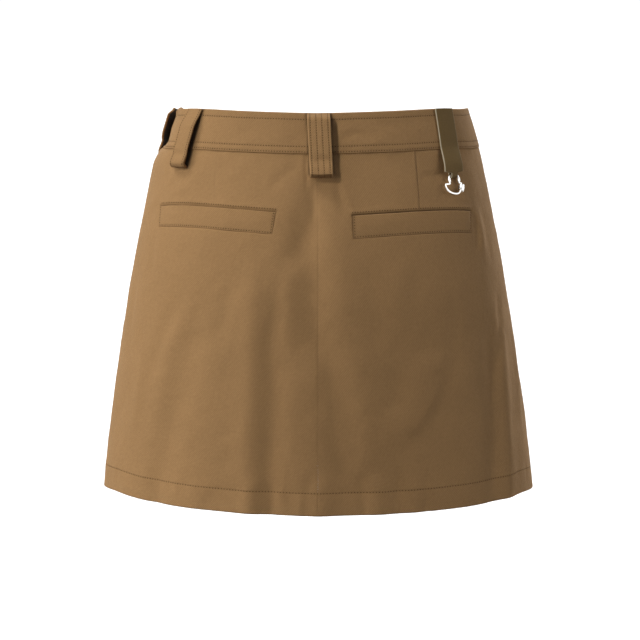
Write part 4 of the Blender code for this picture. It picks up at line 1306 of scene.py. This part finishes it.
def loop_walls(name, across, down):
    """Outer and inner points of a belt loop, at shares across from its middle and down it."""
    across, down = np.broadcast_arrays(np.asarray(across, float), np.asarray(down, float))
    loop = named(LOOP_COLUMNS, LOOPS[name])
    loop["top_rise"] = LOOP_TOP_RISE.get(name, 0.0)
    length, half = loop["length"], loop["width"] / 2
    drop, lift, cloth = loop_middle(loop, across, down)
    step = 0.002
    before, after = loop_middle(loop, across, down - step), loop_middle(loop, across, down + step)
    fall, rise = after[0] - before[0], after[1] - before[1]
    slope = np.hypot(fall, rise)
    shade = np.zeros(across.shape)
    puff = 0.00006 * value_noise(across * 3 + 7, drop / 0.006, 21)
    for row in LOOP_STITCHES[name]:
        cut, inside = groove((across - row) * half, GROOVE_DEPTH, LOOP_GROOVE_HALF_WIDTH)
        puff = puff + cut
        shade = np.maximum(shade, 0.6 * inside)
    from_side = (1 - np.abs(across)) * half
    from_end = np.minimum(down, 1 - down) * length
    left = rounded(np.minimum(from_side, from_end), cloth * 0.9)
    walls = []
    for offset in (cloth / 2 * left + puff * left, -cloth / 2 * left):
        wall_drop, wall_lift = drop - rise / slope * offset, lift + fall / slope * offset
        turn = (loop["foot_bearing"] - loop["top_bearing"]) * wall_drop / length
        middle = loop["top_bearing"] + turn
        bearing = middle + across * half / length_of_degree(middle, wall_drop)
        walls += on_cloth(bearing, wall_drop, wall_lift)
    return *walls, shade


STRIP_EDGE = (0.00001, 0.0001, 0.0003, 0.0006, 0.0010)


def add_loop(name):
    loop = named(LOOP_COLUMNS, LOOPS[name])
    width, length, half = loop["width"], loop["length"], loop["width"] / 2
    rows = [(row + 1) * half for row in LOOP_STITCHES[name]]
    across = edged(width, STRIP_EDGE, 0.0014, 0.00075, rows, 0.00022, 0.0010) / half - 1
    down = edged(length, STRIP_EDGE, 0.0014, 0.0012)[:, None] / length
    from_side = np.minimum(across + 1, 1 - across) * half
    # The inner face of a loop is painted dark as its shade, fading out near its edges
    dark = LOOP_INNER_PAINTED_SHADE * ease(from_side / LOOP_INNER_EDGE)
    piece = add_cloth(name, *loop_walls(name, across, down), dark)


def build_loops():
    for name, rows in LOOP_STITCHES.items():
        add_loop(name)
        down = np.linspace(0.03, 0.985, 40)
        lines = [line_on(loop_walls(name, row, down)) for row in rows]
        add_stitches(name + "_stitches", lines, LOOP_STITCH)


# ---------------------------------------------------------------- pocket welts


WELT_CLOTH = 0.0011


def welt_walls(name, along, down):
    """Outer and inner points of a welt, at shares along it from its inner end and down it."""
    along, down = np.broadcast_arrays(np.asarray(along, float), np.asarray(down, float))
    welt = named(WELT_COLUMNS, WELTS[name])
    bearing = between(*welt_ends(welt, down), along)
    drop = between(*welt_edges(welt, along), down)
    creases = crease_height(CREASES, bearing, drop) + rumple("panel", bearing, drop)
    from_end = np.minimum(along, 1 - along) * WELT_WIDTH
    from_top, from_foot = down * WELT_HEIGHT, (1 - down) * WELT_HEIGHT
    lift = 0.00010 + 0.00065 * ease(from_foot / 0.012) * (0.45 + 0.55 * ease(from_end / 0.010))
    lift = lift + rumple("welt", bearing, drop) * ease(from_end / 0.004)
    shade = np.zeros(along.shape)
    for distance in (from_end - WELT_INSET, from_foot - WELT_INSET):
        cut, inside = groove(distance, GROOVE_DEPTH * 0.8, GROOVE_HALF_WIDTH * 0.8)
        lift = lift + cut
        shade = np.maximum(shade, 0.6 * inside)
    # Painted shade along the welt's sewn ends and foot
    edge = bell(np.minimum(from_end, from_foot * 1.5), 0.00045)
    shade = np.maximum(shade, WELT_EDGE_PAINTED_SHADE[name] * edge)
    left = rounded(np.minimum(np.minimum(from_end, from_top), from_foot), WELT_CLOTH)
    middle = creases + lift - WELT_CLOTH / 2
    outer, inner = on_cloth(bearing, drop, middle + WELT_CLOTH / 2 * left, middle - WELT_CLOTH / 2 * left)
    return outer, inner, shade


def add_welt(name):
    edge = (*STRIP_EDGE, WELT_INSET)
    along = edged(WELT_WIDTH, edge, 0.0020, 0.0014) / WELT_WIDTH
    down = edged(WELT_HEIGHT, edge, 0.0020, 0.0010)[:, None] / WELT_HEIGHT
    piece = add_cloth(name, *welt_walls(name, along, down))
    side, foot = WELT_INSET / WELT_WIDTH, 1 - WELT_INSET / WELT_HEIGHT
    runs = np.linspace(0.0, 1.0, 60)
    lines = [line_on(welt_walls(name, side + (1 - 2 * side) * runs, foot))]
    lines += [line_on(welt_walls(name, end, 0.06 + 0.86 * runs)) for end in (side, 1 - side)]
    welt = named(WELT_COLUMNS, WELTS[name])
    bearing = between(*welt_ends(welt, 0.0), runs)
    lines.append(line_on(panel_walls(bearing, welt_edges(welt, runs)[0] - WELT_ROW_ABOVE)))
    add_stitches(name + "_stitches", lines)


def build_welts():
    for name in WELTS:
        add_welt(name)


# ---------------------------------------------------------------- strap and ring


def strap_path():
    """Middle line of the strap, as rows of drop, lift and half width."""
    rest = BAND_PROUD + LOOP_REST + STRAP_CLOTH / 2
    front_lift, back_lift = BAR_LIFT + FOLD_RADIUS, BAR_LIFT - FOLD_RADIUS
    wide, narrow = STRAP_WIDTH / 2, NECK_WIDTH / 2
    rows = []
    for drop in np.linspace(0.0003, NECK_TOP - 0.0010, 42):
        rise = ease((drop - 0.031) / 0.020)
        rows.append((drop, rest + (front_lift - rest) * rise, wide))
    for step in np.linspace(0.0, 1.0, 7):
        half = wide + (narrow - wide) * ease(step)
        rows.append((NECK_TOP - 0.0008 + 0.0016 * step, front_lift, half))
    for turn in np.linspace(0.0, math.pi, 17):
        drop = BAR_DROP + FOLD_RADIUS * math.sin(turn)
        rows.append((drop, BAR_LIFT + FOLD_RADIUS * math.cos(turn), narrow))
    for drop in np.linspace(BAR_DROP - 0.001, BACK_TOP, 8):
        rows.append((drop, back_lift, narrow))
    return np.array(rows, float)


def build_strap():
    path = strap_path()
    line, half = path[:, :2], path[:, 2:]
    along = unit(np.gradient(line, axis=0))
    side = np.stack([-along[:, 1], along[:, 0]], axis=1)
    across = np.array([-1.0, -0.985, -0.95, -0.9, -0.7, -0.4, 0.0, 0.4, 0.7, 0.9, 0.95, 0.985, 1.0])
    from_side = (1 - np.abs(across)) * STRAP_WIDTH / 2
    left = 0.35 + 0.65 * rounded(from_side, STRAP_CLOTH)
    grids = []
    for direction in (1, -1):
        offset = side[:, None, :] * (direction * STRAP_CLOTH / 2 * left)[None, :, None]
        drop = line[:, None, 0] + offset[..., 0]
        lift = line[:, None, 1] + offset[..., 1]
        middle = STRAP_TOP_BEARING + (STRAP_FOOT_BEARING - STRAP_TOP_BEARING) * drop / BAR_DROP
        bearing = middle + across * half / length_of_degree(middle, drop)
        grids.append(on_cloth(bearing, drop, lift)[0])
    # Pale cut edges: the one toward the centre back faces the key light and is painted paler as a painted
    # highlight
    cut = np.where(across > 0.94, 1.0, np.where(across < -0.94, 0.3, 0.0))
    shade = np.broadcast_to(cut, grids[0].shape[:2])
    mesh = wall_mesh("strap_tape", *grids, shade)
    piece = add_object("strap_tape", mesh, STRAP_FINISH, node="strap")


def arc(centre_across, centre_down, radius, start, end, steps):
    """Points of an arc, with its angles from across towards down, in degrees."""
    turns = np.radians(np.linspace(start, end, steps + 1))
    return [(centre_across + radius * math.cos(t), centre_down + radius * math.sin(t)) for t in turns]


def ring_side(bow_half):
    """One side of the ring's wire, from the middle of its bar to the top of the bow."""
    post = BAR_HALF
    rows = [(0.0, 0.0, WIRE), (post * 0.5, 0.0, WIRE)]
    rows += [(*point, WIRE) for point in arc(post - CORNER, CORNER, CORNER, -90, 0, 10)]
    rows += [(post, CORNER + 0.0002, WIRE), (post, CORNER + 0.0004, POST_WIRE)]
    rows += [(post, CORNER + 0.0012, POST_WIRE), (post, POST_FOOT - 0.0012, POST_WIRE)]
    rows += [(post, POST_FOOT - 0.0009, POST_WIRE * 0.96), (post, POST_FOOT - 0.0007, WIRE)]
    rows += [(*point, WIRE) for point in arc(post + SHOULDER, POST_FOOT, SHOULDER, 180, 90, 8)]
    bend = POST_FOOT + 2 * SHOULDER
    rows += [(*point, WIRE) for point in arc(bow_half - SHOULDER, bend, SHOULDER, -90, 0, 8)]
    return rows


BARREL_COLUMNS = ("share", "radius")
BARREL_ROWS = (
    (0.7415, 0.0008),
    (0.7420, 0.0018),
    (0.7470, 0.0024),
    (0.7560, 0.0026),
    (0.8130, 0.0026),
    (0.8150, 0.0022),
    (0.8230, 0.0022),
    (0.8250, 0.0026),
    (0.8950, 0.0026),
    (0.8970, 0.0022),
    (0.9050, 0.0022),
    (0.9070, 0.0026),
    (0.9650, 0.0026),
    (0.9740, 0.0024),
    (0.9795, 0.0018),
    (0.9800, 0.0008),
)


def ring_rows():
    """The ring's closed wire: across, down and radius, with its barrel on the wearer's right."""
    narrow = BOW_HALF - BARREL_INSET
    first, last = BARREL_ROWS[0][0], BARREL_ROWS[-1][0]
    plain = [(share, WIRE) for share in np.arange(1, 60) / 60 if not first <= share <= last]
    bow = []
    for share, radius in sorted(plain + list(BARREL_ROWS)):
        half = BOW_HALF if share < 0.5 else narrow
        turn = math.pi * share
        bow.append((half * math.cos(turn), BOW_TOP + (RING_DEPTH - BOW_TOP) * math.sin(turn), radius))
    right = [(-across, down, radius) for across, down, radius in reversed(ring_side(narrow)[1:])]
    return np.array(ring_side(BOW_HALF) + bow + right)


def frame_at(bearing, drop, lift):
    """Matrix of a place on the cloth: X sideways, Y down the cloth and Z outward."""
    out = outward(bearing, drop)
    across = unit(np.array([out[1], -out[0], 0.0]))
    down = np.cross(out, across)
    matrix = Matrix.Identity(4)
    for axis, direction in enumerate((across, down, out, face(bearing, drop) + out * lift)):
        for row in range(3):
            matrix[row][axis] = direction[row]
    return matrix


def tube(rows, sides):
    """Points and faces of a closed tube of changing radius in the XY plane."""
    line = np.stack([rows[:, 0], rows[:, 1], 0 * rows[:, 0]], axis=1)
    along = unit(np.roll(line, -1, axis=0) - np.roll(line, 1, axis=0))
    out = np.array([0.0, 0.0, 1.0])
    beside = unit(np.cross(along, out))
    turn = np.arange(sides) * math.tau / sides
    ring = out * np.cos(turn)[:, None] + beside[:, None, :] * np.sin(turn)[:, None]
    points = line[:, None, :] + ring * rows[:, 2][:, None, None]
    number = np.arange(len(rows) * sides).reshape(len(rows), sides)
    return points.reshape(-1, 3), grid_faces(closed(closed(number), 0))[:, [0, 3, 2, 1]]


def build_ring():
    points, faces = tube(ring_rows(), 20)
    place = frame_at(STRAP_FOOT_BEARING, BAR_DROP, BAR_LIFT)
    turn = np.array(place)
    points = points @ turn[:3, :3].T + turn[:3, 3]
    mesh = make_mesh("ring_metal", points, faces, sharp=50.0)
    add_object("ring_metal", mesh, METAL, body="ring", node="ring")


# ---------------------------------------------------------------- waist button


BUTTON_DROP = 0.0170
BUTTON_REST = BAND_PROUD + BAND_LIFT + 0.0004
BUTTON_COLUMNS = ("radius", "height")
BUTTON_PROFILE = (
    (0.0001, 0.0000),
    (0.0070, 0.0000),
    (0.0078, 0.0002),
    (0.0083, 0.0007),
    (0.0085, 0.0013),
    (0.0084, 0.0020),
    (0.0081, 0.0026),
    (0.0076, 0.0030),
    (0.0071, 0.0030),
    (0.0066, 0.0028),
    (0.0062, 0.0024),
    (0.0058, 0.0020),
    (0.0052, 0.0017),
    (0.0040, 0.0016),
    (0.0001, 0.0016),
)
BUTTON_SIDES = 64
HOLE_OFFSET = 0.0019
HOLE_RADIUS = 0.0008
HOLE_SIDES = 20
HOLE_REACH = 0.0040
# Crossed thread of the button: how far its two strands lie apart, and their height in the middle
STRAND_SHIFT = 0.00022
STRAND_HEIGHT = 0.0018
STRAND_ARCH = 0.0003
BUTTON_STITCH = 0.0060
BUTTON_THREAD = 0.00026


def turned_mesh(name, profile, sides):
    """Closed mesh of a profile of radii and heights turned about Z."""
    turn = np.arange(sides) * math.tau / sides
    radius, height = np.array(profile)[:, :1], np.array(profile)[:, 1:]
    points = np.stack([radius * np.cos(turn), radius * np.sin(turn), height + 0 * turn], axis=-1)
    number = np.arange(points.shape[0] * sides).reshape(-1, sides)
    faces = [*grid_faces(closed(number)), number[0, ::-1], number[-1]]
    return make_mesh(name, points.reshape(-1, 3), faces, sharp=50.0)


def cut_holes(mesh):
    """The button's mesh with its four holes cut through it."""
    button = bpy.data.objects.new("button_blank", mesh)
    bpy.context.scene.collection.objects.link(button)
    cutters = []
    for x, y in ((1, 1), (-1, 1), (-1, -1), (1, -1)):
        profile = ((HOLE_RADIUS, -HOLE_REACH), (HOLE_RADIUS, HOLE_REACH))
        cutter = bpy.data.objects.new("cutter", turned_mesh("cutter", profile, HOLE_SIDES))
        bpy.context.scene.collection.objects.link(cutter)
        cutter.location = (x * HOLE_OFFSET / math.sqrt(2), y * HOLE_OFFSET / math.sqrt(2), 0.0)
        boolean = button.modifiers.new("hole", "BOOLEAN")
        boolean.object = cutter
        cutters.append(cutter)
    bpy.context.view_layer.update()
    depsgraph = bpy.context.evaluated_depsgraph_get()
    made = bpy.data.meshes.new_from_object(button.evaluated_get(depsgraph))
    for used in (button, *cutters):
        bpy.data.objects.remove(used)
    return made


def build_button():
    """Round horn button with a raised rim, four holes and its crossed thread."""
    place = frame_at(180.0, BUTTON_DROP, BUTTON_REST)
    mesh = cut_holes(turned_mesh("button_horn", BUTTON_PROFILE, BUTTON_SIDES))
    mesh.transform(place)
    mesh.materials.clear()
    add_object("button_horn", mesh, HORN, node="button")
    place = np.array(place)
    share = np.linspace(0, 1, 9)[:, None]
    height = STRAND_HEIGHT + STRAND_ARCH * np.sin(math.pi * share)
    lines = []
    for slope in (1, -1):
        way = np.array([1, slope]) / math.sqrt(2)
        for shift in (-STRAND_SHIFT, STRAND_SHIFT):
            flat = way * HOLE_OFFSET * (2 * share - 1) + np.array([-way[1], way[0]]) * shift
            points = np.concatenate([flat, height], axis=1) @ place[:3, :3].T + place[:3, 3]
            lines.append((points, np.broadcast_to(place[:3, 2], points.shape)))
    add_stitches("button_thread", lines, BUTTON_STITCH, BUTTON_THREAD)


# Buttonhole of the right lap: half its length, and the half length and spacing of its stitches
BUTTONHOLE_HALF = 0.0095
BAR_HALF_LENGTH = 0.0011
BAR_SPACING = 0.00062


def build_buttonhole():
    """Close stitches round the slit that the button goes through, level with the button."""
    lines = []
    degree = float(length_of_degree(CENTRE_FRONT, BUTTON_DROP))
    for across in np.arange(-BUTTONHOLE_HALF, BUTTONHOLE_HALF + BAR_SPACING / 2, BAR_SPACING):
        bearing = CENTRE_FRONT + across / degree
        for side in (-1, 1):
            drops = BUTTON_DROP + side * np.linspace(0.0002, 2 * BAR_HALF_LENGTH, 4)
            lines.append(line_on(band_walls(bearing, drops, laps=True)))
    for end in (-BUTTONHOLE_HALF, BUTTONHOLE_HALF):
        for across in (0.0, BAR_SPACING, 2 * BAR_SPACING):
            bearing = CENTRE_FRONT + (end + math.copysign(across, end)) / degree
            drops = BUTTON_DROP + np.linspace(-2 * BAR_HALF_LENGTH, 2 * BAR_HALF_LENGTH, 7)
            lines.append(line_on(band_walls(bearing, drops, laps=True)))
    add_stitches("buttonhole_stitches", lines, 2 * BAR_HALF_LENGTH)


# ---------------------------------------------------------------- inner shorts


def body_point(bearing, level):
    """Point of the shorts round the seat and the front."""
    turn = np.radians(bearing)
    half_width, back, front = (read(BODY, BODY_COLUMNS, level, name) for name in BODY_COLUMNS[1:])
    depth = np.where(np.cos(turn) >= 0, back, front)
    height = np.broadcast_to(WAIST_Z - level, turn.shape)
    return np.stack([half_width * np.sin(turn), depth * np.cos(turn), height], axis=-1)


def leg_point(turn, level):
    """Point of a leg of the shorts: its turn is 0 at the back and 90 on its outer side."""
    turn = np.radians(turn)
    x = LEG_CENTRE + LEG_HALF_WIDTH * np.sin(turn)
    y = LEG_FORWARD + LEG_HALF_DEPTH * np.cos(turn)
    return np.stack([x, y, np.broadcast_to(WAIST_Z - level, turn.shape)], axis=-1)


SHORTS_OUTER_STEPS = 88
SHORTS_INNER_STEPS = 32
SEAT_LEVELS = np.linspace(0.046, 0.2125, 48)
LEG_LEVELS = np.concatenate([np.linspace(0.0, 0.97, 26), [0.985, 1.0]])
# Least distance of each half of the shorts from the middle
SHORTS_INSET = 0.00003
SHORTS_HEM_ROWS = (0.0165, 0.0195)


def shorts_rows():
    """Rows of the left half of the shorts: open rows down to the crotch, then closed rings."""
    share = np.linspace(0.0, 1.0, SHORTS_OUTER_STEPS + 1)
    bearing = 180.0 * share
    top = on_cloth(bearing, SHORTS_TOP, SHORTS_LIFT)[0]
    first = body_point(bearing, SEAT_LEVELS[0])
    seat = [top, (top + first) / 2, first]
    seat += [body_point(bearing, level) for level in SEAT_LEVELS[1:]]
    for row in seat:
        row[:, 0] = np.maximum(row[:, 0], SHORTS_INSET)
    legs = []
    inner_share = np.linspace(0.0, 1.0, SHORTS_INNER_STEPS + 1)[1:-1]
    for down in LEG_LEVELS:
        level = CROTCH_LEVEL + (LEG_HEM_LEVEL - CROTCH_LEVEL) * down
        outer_leg = leg_point(-INNER_ARC + (180.0 + 2 * INNER_ARC) * share, level)
        outer = between(body_point(bearing, level), outer_leg, ease(down))
        start, end = outer[-1], outer[0]
        line = start + (end - start) * inner_share[:, None]
        line[:, 2] -= CROTCH_DIP * np.sin(math.pi * inner_share) * (1 - down)
        turn = 180.0 + INNER_ARC + (180.0 - 2 * INNER_ARC) * inner_share
        inner = between(line, leg_point(turn, level), ease(down))
        inner[:, 2] = line[:, 2]
        ring = np.concatenate([outer, inner])
        ring[:, 0] = np.maximum(ring[:, 0], SHORTS_INSET)
        legs.append(ring)
    return np.array(seat), np.array(legs)


def shorts_mesh(name, side):
    """Sheet of one half of the shorts, with wrinkles, before it is made thick."""
    seat, legs = shorts_rows()
    mirror = np.array([side, 1.0, 1.0])
    points = np.concatenate([seat.reshape(-1, 3), legs.reshape(-1, 3)]) * mirror
    seat_count = seat.shape[1]
    numbers = np.arange(seat.shape[0] * seat_count).reshape(seat.shape[:2])
    leg_numbers = np.arange(legs.shape[0] * legs.shape[1]).reshape(legs.shape[:2]) + numbers.size
    join = np.stack([numbers[-1], leg_numbers[0, :seat_count]])
    faces = np.concatenate([grid_faces(numbers), grid_faces(join), grid_faces(closed(leg_numbers))])
    if side < 0:
        faces = faces[:, ::-1]
    out = seat[30, 20] * np.array([1.0, 1.0, 0.0])
    corner = points[faces[30 * (seat_count - 1) + 20]]
    if np.cross(corner[1] - corner[0], corner[3] - corner[0]) @ (out * mirror) < 0:
        faces = faces[:, ::-1]
    x, y, z = points.T
    turn = np.arctan2(np.abs(x), y)
    down = WAIST_Z - z
    outward_now = unit(points * np.array([1.0, 1.0, 0.0]) + np.array([1e-6, 0, 0]))
    wrinkle = 0.0006 * value_noise(turn * 9 + side, down / 0.030, 41)
    crotch = bell(down - 0.205, 0.030)
    wrinkle = wrinkle + 0.0009 * crotch * value_noise(turn * 14, down / 0.012, 42)
    fade = ease((down - 0.040) / 0.015) * ease(np.abs(x) / 0.010)
    points = points + outward_now * (wrinkle * fade)[:, None]
    # Painted shade along the hem's row of stitches
    hem = bell(LEG_HEM_LEVEL - down - 0.018, 0.0008)
    places = np.stack([turn * 0.14, down], axis=1)
    return make_mesh(name, points, faces, places, 0.7 * hem, sharp=60.0), seat, legs


def add_shorts(name, side):
    """One half of the shorts: side is 1 for the wearer's left and -1 for the right."""
    mesh, seat, legs = shorts_mesh(name + "_jersey", side)
    piece = add_object(name + "_jersey", mesh, JERSEY_FINISH, node=name)
    thick = piece.modifiers.new("jersey", "SOLIDIFY")
    thick.thickness = JERSEY
    thick.offset = -1.0
    around = np.linalg.norm(np.diff(seat, axis=1), axis=-1).sum(axis=1).max()
    tall = LEG_HEM_LEVEL - SHORTS_TOP
    leg = np.linalg.norm(np.diff(legs[-1], axis=0), axis=-1).sum()
    area = around * (CROTCH_LEVEL - SHORTS_TOP) + (LEG_HEM_LEVEL - CROTCH_LEVEL) * (leg + around + 0.2) / 2
    width = float(max(around, leg) + 0.02)
    area = float(min(area, width * tall))


def shorts_hem_lines(side):
    """Two rows of stitches round the hem of one leg."""
    lines = []
    for up in SHORTS_HEM_ROWS:
        down = 1 - up / (LEG_HEM_LEVEL - CROTCH_LEVEL)
        turns = np.linspace(-INNER_ARC, 180 + INNER_ARC, 160)
        level = LEG_HEM_LEVEL - up
        outer = between(body_point(np.linspace(0, 180, 160), level), leg_point(turns, level), ease(down))
        outer[:, 0] = np.maximum(outer[:, 0], 0.001)
        centre = np.array([LEG_CENTRE, LEG_FORWARD, 0.0])
        normals = unit((outer - centre) * np.array([1.0, 1.0, 0.0]))
        mirror = np.array([side, 1.0, 1.0])
        lines.append(((outer + normals * 0.0002) * mirror, normals * mirror))
    return lines


def build_shorts():
    add_shorts("shorts_left", 1)
    add_shorts("shorts_right", -1)
    add_stitches("shorts_stitches", shorts_hem_lines(1) + shorts_hem_lines(-1), SHORTS_STITCH)


# ---------------------------------------------------------------- stage


def add_camera():
    camera = bpy.data.cameras.new("camera")
    camera.lens = CAMERA_LENS
    camera.sensor_width = SENSOR
    camera.clip_start = 0.05
    camera.clip_end = 200.0
    made = bpy.data.objects.new("camera", camera)
    bpy.context.scene.collection.objects.link(made)
    made.location = CAMERA_PLACE
    aim = Vector(CAMERA_AIM) - Vector(CAMERA_PLACE)
    made.rotation_euler = aim.to_track_quat("-Z", "Y").to_euler()
    bpy.context.scene.camera = made


def add_sun(name, azimuth, elevation, strength, softness):
    """Distant soft light. Azimuth 0 comes from behind the wearer and 90 from the wearer's left."""
    light = bpy.data.lights.new(name, "SUN")
    light.energy = strength * math.pi
    light.angle = math.radians(softness)
    made = bpy.data.objects.new(name, light)
    bpy.context.scene.collection.objects.link(made)
    turn, rise = math.radians(azimuth), math.radians(elevation)
    source = Vector((math.sin(turn) * math.cos(rise), math.cos(turn) * math.cos(rise), math.sin(rise)))
    made.rotation_euler = (-source).to_track_quat("-Z", "Y").to_euler()


def stage_piece(name, points, faces, colour, glow):
    """Piece of the studio. It lights nothing, so that the lights alone shape the cloth."""
    mesh = bpy.data.meshes.new(name)
    mesh.from_pydata(points, [], faces)
    made, _, shader = new_material(name + "_pale", 0.9)
    shader.inputs["Base Color"].default_value = (colour, colour, colour, 1.0)
    shader.inputs["Emission Color"].default_value = (1.0, 1.0, 1.0, 1.0)
    shader.inputs["Emission Strength"].default_value = glow
    mesh.materials.append(made)
    piece = bpy.data.objects.new(name, mesh)
    bpy.context.scene.collection.objects.link(piece)
    piece.visible_diffuse = False
    return piece


def add_floor():
    """Plain pale floor, well below the garment."""
    corners = ((-1, -1), (1, -1), (1, 1), (-1, 1))
    points = [(x * FLOOR_SIZE, y * FLOOR_SIZE, FLOOR_Z) for x, y in corners]
    stage_piece("floor", points, [(0, 1, 2, 3)], 0.93, FLOOR_GLOW)


def add_backdrop():
    """Plain pale wall round the floor."""
    turn = np.arange(BACKDROP_SIDES) * math.tau / BACKDROP_SIDES
    ring = [(BACKDROP_RADIUS * math.cos(t), BACKDROP_RADIUS * math.sin(t)) for t in turn]
    points = [(x, y, z) for z in (FLOOR_Z, FLOOR_Z + BACKDROP_HEIGHT) for x, y in ring]
    numbers = np.arange(2 * BACKDROP_SIDES).reshape(2, BACKDROP_SIDES)
    wall = stage_piece("backdrop", points, grid_faces(closed(numbers)).tolist(), 0.0, BACKDROP_GLOW)
    wall.visible_shadow = False


def add_world():
    """Even pale surroundings, brighter at the horizon."""
    world = bpy.data.worlds.new("studio")
    world.use_nodes = True
    tree = world.node_tree
    back = tree.nodes["Background"]
    direction = node(tree, "TexCoord").outputs["Generated"]
    height = maths(tree, "ABSOLUTE", node(tree, "SeparateXYZ", {0: direction}).outputs[2])
    back.inputs["Color"].default_value = (1.0, 1.0, 1.0, 1.0)
    spans = {0: height, 1: GLOW_FADE[0], 2: GLOW_FADE[1], 3: HORIZON_GLOW, 4: UPPER_GLOW}
    glow = node(tree, "MapRange", spans).outputs[0]
    tree.links.new(glow, back.inputs["Strength"])
    bpy.context.scene.world = world


def build_stage():
    add_camera()
    for light in LIGHTS:
        add_sun(*light)
    add_world()
    add_floor()
    add_backdrop()
    bpy.context.scene.view_settings.view_transform = "Standard"


# ---------------------------------------------------------------- all together


build_panels()
build_fly_stitches()
build_band()
build_loops()
build_welts()
build_strap()
build_ring()
build_button()
build_buttonhole()
build_shorts()
build_stage()
